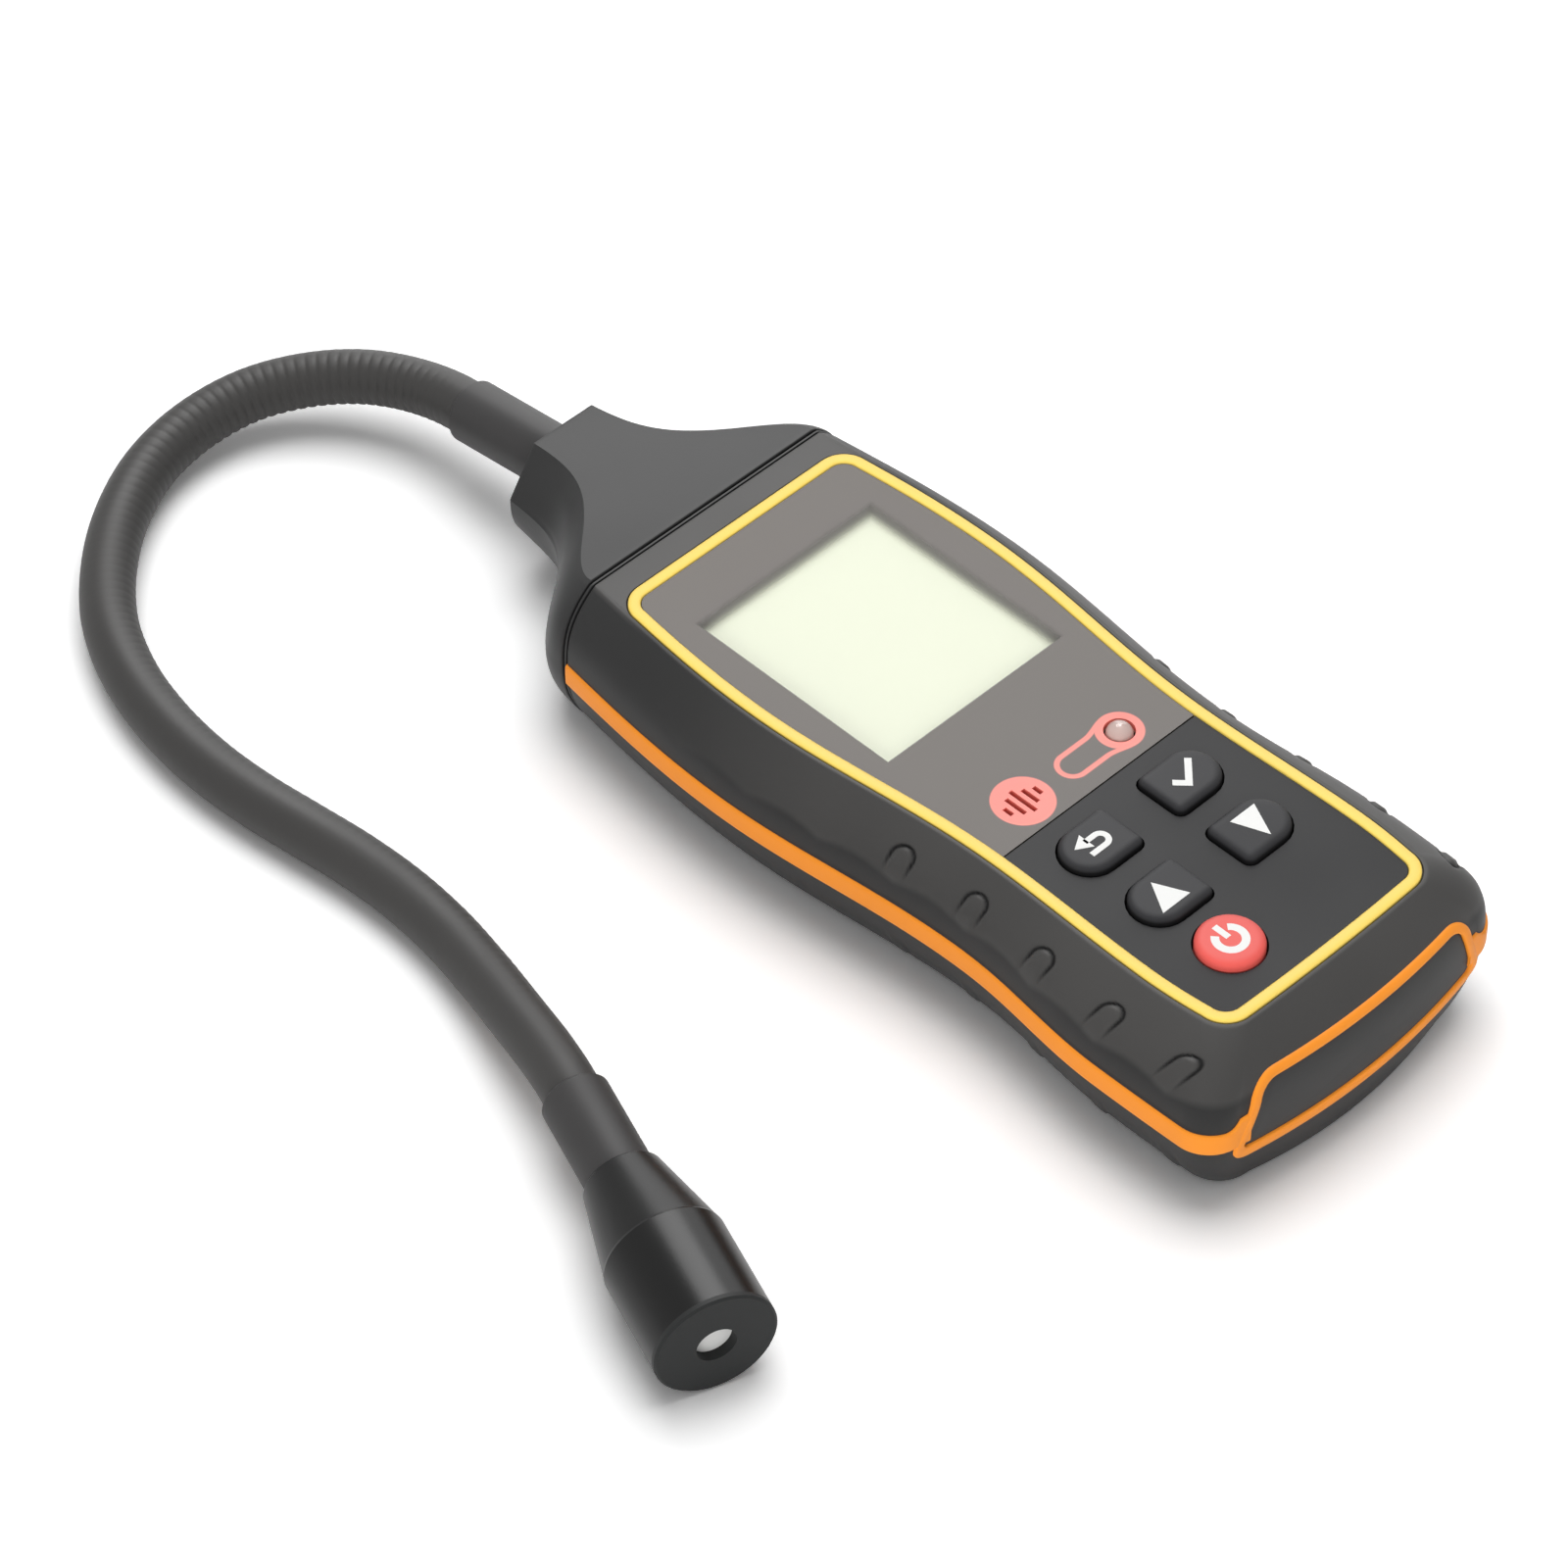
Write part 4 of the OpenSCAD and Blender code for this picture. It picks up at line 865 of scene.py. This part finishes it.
def mixed(tree, factor, a, b):
    """Mix of two colours; each is a constant or a socket."""
    node = tree.nodes.new("ShaderNodeMix")
    node.data_type = "RGBA"
    tree.links.new(factor, node.inputs["Factor"])
    for socket, value in ((node.inputs["A"], a), (node.inputs["B"], b)):
        if isinstance(value, tuple):
            socket.default_value = value
        else:
            tree.links.new(value, socket)
    return node.outputs["Result"]


def ranged(tree, value, lo, hi, start=0.0, end=1.0, soft=False):
    """A value carried from start..end to lo..hi."""
    node = tree.nodes.new("ShaderNodeMapRange")
    node.interpolation_type = "SMOOTHSTEP" if soft else "LINEAR"
    for label, number in (("From Min", start), ("From Max", end), ("To Min", lo), ("To Max", hi)):
        node.inputs[label].default_value = number
    tree.links.new(value, node.inputs["Value"])
    return node.outputs["Result"]


def stepped(tree, kind, a, b=0.0):
    """One maths node; each input is a number or a socket."""
    node = tree.nodes.new("ShaderNodeMath")
    node.operation = kind
    for socket, value in zip(node.inputs, (a, b)):
        if isinstance(value, (int, float)):
            socket.default_value = value
        else:
            tree.links.new(value, socket)
    return node.outputs[0]


def place_mm(tree):
    """x, y and z on the piece, in millimetres."""
    place = tree.nodes.new("ShaderNodeTexCoord")
    split = tree.nodes.new("ShaderNodeSeparateXYZ")
    tree.links.new(place.outputs["Object"], split.inputs[0])
    return [stepped(tree, "MULTIPLY", split.outputs[k], 1 / MM) for k in "XYZ"]


# %% Moulded finish
def skin_node(tree, grain=GRAIN_SCALE, patch=PATCH_SCALE):
    """The moulded-skin group placed in a material."""
    skin = tree.nodes.new("ShaderNodeGroup")
    skin.node_tree = skin_group
    skin.inputs["Grain Scale"].default_value = grain
    skin.inputs["Patch Scale"].default_value = patch
    return skin


def patchy(tree, skin, lo=0.0, hi=1.0):
    """The patches of a skin, spread over lo..hi."""
    return ranged(tree, skin.outputs["Patch"], lo, hi, 0.3, 0.7)


def moulded(name, tint, rough=(0.42, 0.52), spread=0.1, grain=GRAIN_SCALE, depth=0.02, patch=PATCH_SCALE,
            shine=0.2, second=None, line_shade=False):
    """A moulded plastic or rubber with grain, faint patches and uneven gloss.

    second is a mask and the tint it brings in; the last flag darkens the lines that are pressed into the
    piece with painted shade.
    """
    made, tree, shader = blank(name)
    shader.inputs["Specular IOR Level"].default_value = shine
    skin = skin_node(tree, grain, patch)
    tone = patchy(tree, skin)

    def toned(screen_colour):
        c = colour(screen_colour)
        return mixed(tree, tone, shaded(c, 1 - spread), shaded(c, 1 + spread))

    base = toned(tint)
    if second:
        mask, other = second
        base = mixed(tree, mask(tree), base, toned(other))
    if line_shade:
        # Painted shade: the pressed lines are darkened in colour, where shade falls in them.
        mark = tree.nodes.new("ShaderNodeAttribute")
        mark.attribute_name = "pressed"
        base = mixed(tree, ranged(tree, mark.outputs["Fac"], 0, 1, 0.1, 0.8), base, shaded(colour(tint), 0.3))
    tree.links.new(base, shader.inputs["Base Color"])
    tree.links.new(patchy(tree, skin, *rough), shader.inputs["Roughness"])
    bump = tree.nodes.new("ShaderNodeBump")
    bump.inputs["Strength"].default_value = 0.6
    bump.inputs["Distance"].default_value = depth * MM
    tree.links.new(skin.outputs["Grain"], bump.inputs["Height"])
    tree.links.new(bump.outputs["Normal"], shader.inputs["Normal"])
    return made


def wear(piece, made):
    """Gives a piece or a CAD node one material."""
    target = nodes[piece] if isinstance(piece, str) else piece
    target.data.materials.clear()
    target.data.materials.append(made)


# %% [markdown]
# The shoulder above the scallops and the flat top beside the neck are painted a
# shade lighter than the side below, as painted light, and the sides of the keys
# are painted darker than their tops, as painted shade. Each such change is a mask:
# a function that reads the place on the piece and gives a number up to one.

# %% Masks
def lit_shoulder_mask(tree):
    """Painted light: one on the shoulder above the scalloped line, fading out towards the neck."""
    _, y, z = place_mm(tree)
    sine = stepped(tree, "SINE", stepped(tree, "MULTIPLY", y, math.pi / nub_pitch))
    wave = stepped(tree, "MULTIPLY", stepped(tree, "ABSOLUTE", sine), scallop_h)
    height = stepped(tree, "SUBTRACT", z, wave)
    return stepped(tree, "MULTIPLY", ranged(tree, height, 0, 1, scallop_z - 1, scallop_z + 1, soft=True),
                   ranged(tree, y, 1, 0, 12, 62, soft=True))


def painted_top_light(tree):
    """Painted light: one above the scallops and on the flat top beside the neck."""
    _, y, z = place_mm(tree)
    on_top = ranged(tree, z, 0, 1, face_z - 0.6, face_z - 0.1)
    flat_top = stepped(tree, "MULTIPLY", on_top, ranged(tree, y, 0, 1, 62, 74, soft=True))
    return stepped(tree, "MAXIMUM", lit_shoulder_mask(tree), flat_top)


def key_side_shade(tree):
    """Painted shade: one on the side of a key, below its rolled edge."""
    return ranged(tree, place_mm(tree)[2], 1, 0, key_top - 1.15, key_top - 0.35, soft=True)


# %% Finishes of the outside
case_skin = moulded("case_skin", "2c2c2c")
for piece in (lower_shell, "battery_door"):
    wear(piece, case_skin)
# The shell's shoulder and its flat top near the neck are painted lighter: painted light where the tops catch
# it.
wear(upper_shell, moulded("shell_skin", "2b2b2b", second=(painted_top_light, "444342"), line_shade=True))
wear(neck, moulded("neck_skin", "2d2d2d", shine=0.24))
wear(tail_plate, moulded("end_plate_skin", "3a3a3a", rough=(0.5, 0.6)))
wear(band, moulded("band_rubber", "ff9a30", rough=(0.45, 0.55), spread=0.04))
wear(face_trim, moulded("ring_yellow", "ffdd6a", rough=(0.4, 0.5), spread=0.03))
wear("key_panel", moulded("panel_skin", "262627", rough=(0.45, 0.55), spread=0.05, shine=0.13))
# The sides of the keys are painted darker than their tops: painted shade.
key_skin = moulded("key_skin", "2f2f31", rough=(0.48, 0.58), spread=0.06, shine=0.15,
                   second=(key_side_shade, "161617"))
for piece in key_pieces.values():
    wear(piece, key_skin)
wear(power_key, moulded("power_red", "ee625b", rough=(0.45, 0.55), spread=0.05))
white_print = moulded("white_print", "f6f6f4", rough=(0.5, 0.6), spread=0.03)
for mark in marks:
    wear(mark, white_print)
wear(arm, moulded("sheath_rubber", "3b3a39", rough=(0.44, 0.56), spread=0.08, shine=0.25))
for name, shine in (("base_sleeve", 0.26), ("tip_sleeve", 0.22)):
    wear(name, moulded(name + "_rubber", "393838", rough=(0.46, 0.56), spread=0.08, shine=shine))
wear("sensor_housing", moulded("head_gloss", "080808", rough=(0.27, 0.35), depth=0.008, shine=0.24))
wear("sensor_nose", moulded("nose_matt", "282929", rough=(0.5, 0.62), shine=0.18))
wear("sensor_filter", moulded("filter_felt", "d6d6d4", rough=(0.7, 0.8), grain=2600.0, depth=0.08))
print("materials:", len(bpy.data.materials))

# %% [markdown]
# ## The lens and the display
#
# The lens is one clear plate printed from behind. A mask made from the
# distance to the window's edges leaves it clear through Alpha, softly along
# the two far edges; distances to circles and to a line draw the red marks.

# %% Clear window of the lens
edge, clear_alpha = 0.12, 0.05
win_x, win_y0, win_y1 = 21.7, 13.7, 60.9
lens, tree, shader = blank("printed_lens")
x, y, z = place_mm(tree)
near_out = stepped(tree, "MAXIMUM", stepped(tree, "SUBTRACT", -win_x, x),
                   stepped(tree, "SUBTRACT", win_y0, y))
far_out = stepped(tree, "MAXIMUM", stepped(tree, "SUBTRACT", x, win_x),
                  stepped(tree, "SUBTRACT", y, win_y1))
printed_on = stepped(tree, "MAXIMUM", ranged(tree, near_out, clear_alpha, 1.0, -edge, edge),
                     ranged(tree, far_out, clear_alpha, 1.0, -2.5, 0.4, soft=True))
tree.links.new(printed_on, shader.inputs["Alpha"])
print("window:", 2 * win_x, "by", round(win_y1 - win_y0, 1), "mm")

# %% Printed marks of the lens
disc_r, rim_r, pill_r, line_half, pill_end_x, pill_flare_x = 5.7, 4.4, 3.2, 0.5, 0.2, 6.0


def distance_to(tree, x, y, at):
    """Distance to a point, whose x and y are numbers or sockets."""
    dx, dy = stepped(tree, "SUBTRACT", x, at[0]), stepped(tree, "SUBTRACT", y, at[1])
    squares = stepped(tree, "ADD", stepped(tree, "MULTIPLY", dx, dx), stepped(tree, "MULTIPLY", dy, dy))
    return stepped(tree, "SQRT", squares)


def within(tree, distance, r):
    """One where a distance is under r, nought beyond it."""
    return ranged(tree, distance, 1, 0, r - edge, r + edge)


disc = within(tree, distance_to(tree, x, y, sounder_at), disc_r)
pill_x = stepped(tree, "MINIMUM", stepped(tree, "MAXIMUM", x, pill_end_x), lamp_at[0])
from_pill = distance_to(tree, x, y, (pill_x, lamp_at[1]))
pill_edge = ranged(tree, pill_x, pill_r, rim_r, pill_flare_x, lamp_at[0], soft=True)
from_edge = stepped(tree, "SUBTRACT", pill_edge, from_pill)
pill = within(tree, stepped(tree, "ABSOLUTE", stepped(tree, "SUBTRACT", from_edge, line_half)), line_half)
lamp_rim = within(tree, distance_to(tree, x, y, lamp_at), rim_r)
red = stepped(tree, "MAXIMUM", disc, stepped(tree, "MAXIMUM", pill, lamp_rim))
skin = skin_node(tree)
print_grey = mixed(tree, patchy(tree, skin), colour("544e49"), colour("5b5550"))
beneath = ranged(tree, z, 1, 0, seat_z + 0.2, seat_z + 0.4)
printed_top = mixed(tree, red, print_grey, colour("fb8a7e"))
tree.links.new(mixed(tree, beneath, printed_top, colour("f2f4e8")), shader.inputs["Base Color"])
shader.inputs["Specular IOR Level"].default_value = 0.19
tree.links.new(patchy(tree, skin, 0.28, 0.36), shader.inputs["Roughness"])
wear("display_lens", lens)
print("lens marks at", lamp_at, sounder_at)


# %% Display
def window_edge_shadow(tree):
    """Painted shadow: one at the far edges of the window, fading out over some three millimetres."""
    x, y, _ = place_mm(tree)
    near = stepped(tree, "MINIMUM", stepped(tree, "SUBTRACT", win_x, x), stepped(tree, "SUBTRACT", win_y1, y))
    return ranged(tree, near, 1, 0, 0, 3.2, soft=True)


# The display is painted darker along the far edges of the window: painted shadow of the print.
wear("lcd_glass", moulded("lcd_pale", "f5fae2", rough=(0.3, 0.36), spread=0.02, depth=0.004, patch=12.0,
                          second=(window_edge_shadow, "d8d8ca")))
print("display:", nodes["lcd_glass"].data.materials[0].name)

# %% [markdown]
# ## Small parts
#
# The pieces inside and on the back still deserve their own finish: solder
# mask on the board, nickel on the contacts, a shrunk sleeve on each cell.

# %% Finishes of the small parts
def metal(name, tint, rough):
    """Bare metal with faint patches and a fine uneven gloss."""
    made, tree, shader = blank(name)
    skin = skin_node(tree)
    tone = mixed(tree, skin.outputs["Patch"], shaded(colour(tint), 0.85), colour(tint))
    tree.links.new(tone, shader.inputs["Base Color"])
    tree.links.new(ranged(tree, skin.outputs["Grain"], rough, rough + 0.15), shader.inputs["Roughness"])
    shader.inputs["Metallic"].default_value = 1.0
    return made


steel = metal("screw_steel", "b9babc", 0.3)
nickel = metal("nickel", "cfcbc2", 0.25)
for name in ("board_screws", "case_screws", "neck_nut"):
    wear(name, steel)
for name in ("battery_springs", "battery_contacts", "sensor_cell"):
    wear(name, nickel)
wear("key_mat", moulded("mat_silicone", "b9b9b6", rough=(0.5, 0.6)))
wear("lcd_frame", moulded("frame_white", "dcdcd8", rough=(0.4, 0.5)))
wear("main_board", moulded("board_green", "1d6a3c", rough=(0.3, 0.4)))
wear("sounder", moulded("sounder_red_felt", "9a1f24", rough=(0.7, 0.8)))
for name in ("battery_1", "battery_2", "battery_3"):
    wear(name, moulded(name + "_wrap", "c98d2b", rough=(0.25, 0.35), patch=60.0))
lamp, tree, shader = blank("lamp_clear")
skin = skin_node(tree)
lamp_tint = mixed(tree, skin.outputs["Patch"], colour("f0c9bf"), colour("fbe6de"))
tree.links.new(lamp_tint, shader.inputs["Base Color"])
shader.inputs["Roughness"].default_value = 0.08
shader.inputs["Transmission Weight"].default_value = 0.35
wear("alarm_lamp", lamp)
print("finished nodes:", len([o for o in nodes.values() if o.data.materials]))

# %% [markdown]
# ## Floor and light
#
# The object lies on white paper. A large soft light, high above it and a little
# to the back, makes the shadow. Two lights further back show in the gloss only:
# a high one gives the tops their sheen, a low one runs along the round parts. A
# low fill from the camera's side lifts the near walls; it leaves the paper out,
# so that the shadow stays. The rays that show the background see the paper
# brighter than it is, so it goes white and nothing but the shadow is left.

# %% Floor
def seen_directly(tree):
    """One for rays that show the background: from the camera, off a gloss, or through glass."""
    seen = tree.nodes.new("ShaderNodeLightPath")
    mirrored = stepped(tree, "MAXIMUM", seen.outputs["Is Glossy Ray"], seen.outputs["Is Transmission Ray"])
    return stepped(tree, "MAXIMUM", seen.outputs["Is Camera Ray"], mirrored)


def grey(value):
    return (value, value, value, 1.0)


floor_half, floor_gap = 3.0, 0.0002
paper_dark, paper_light, paper_seen = grey(0.91), grey(0.93), grey(1.43)
floor_corners = [(-floor_half, -floor_half, 0), (floor_half, -floor_half, 0),
                 (floor_half, floor_half, 0), (-floor_half, floor_half, 0)]
floor_mesh = bpy.data.meshes.new("floor")
floor_mesh.from_pydata(floor_corners, [], [(0, 1, 2, 3)])
floor = bpy.data.objects.new("floor", floor_mesh)
scene.collection.objects.link(floor)
floor.location.z = cad_box[0].z - floor_gap
paper, tree, shader = blank("white_paper")
skin = skin_node(tree, patch=2.0)
paper_tone = mixed(tree, skin.outputs["Patch"], paper_dark, paper_light)
tree.links.new(mixed(tree, seen_directly(tree), paper_tone, paper_seen), shader.inputs["Base Color"])
shader.inputs["Roughness"].default_value = 0.9
shader.inputs["Specular IOR Level"].default_value = 0.1
floor_mesh.materials.append(paper)
print("floor at", round(floor.location.z / MM, 2), "mm")

# %% Lights and world
light_aim, world_fill = Vector((-0.02, 0.03, 0.0)), 0.34


def soft_light(name, at, size, power, gloss=False):
    """A square area light that faces the object, either for its gloss only or for all but its gloss."""
    lamp = bpy.data.objects.new(name, bpy.data.lights.new(name, "AREA"))
    lamp.data.size, lamp.data.energy = size, power
    lamp.location = at
    lamp.rotation_euler = (light_aim - Vector(at)).to_track_quat("-Z", "Y").to_euler()
    lamp.visible_glossy, lamp.visible_diffuse = gloss, not gloss
    scene.collection.objects.link(lamp)
    return lamp


soft_light("top_light", (0.34, 0.33, 1.9), 1.5, 23.5)
soft_light("sheen_light", (0.75, 0.85, 1.5), 1.15, 31.0, gloss=True)
soft_light("rim_light", (1.3, 1.0, 0.5), 1.4, 12.0, gloss=True)
fill_light = soft_light("fill_light", (-1.5, -1.0, 0.4), 1.2, 22.0)
not_floor = bpy.data.collections.new("fill_receivers")
not_floor.objects.link(floor)
fill_light.light_linking.receiver_collection = not_floor
not_floor.collection_objects[0].light_linking.link_state = "EXCLUDE"

world = bpy.data.worlds.new("studio")
scene.world = world
world.use_nodes = True
tree = world.node_tree
sky = tree.nodes["Background"]
tree.links.new(ranged(tree, seen_directly(tree), world_fill, 1.0), sky.inputs["Strength"])
sky.inputs["Color"].default_value = grey(1.0)
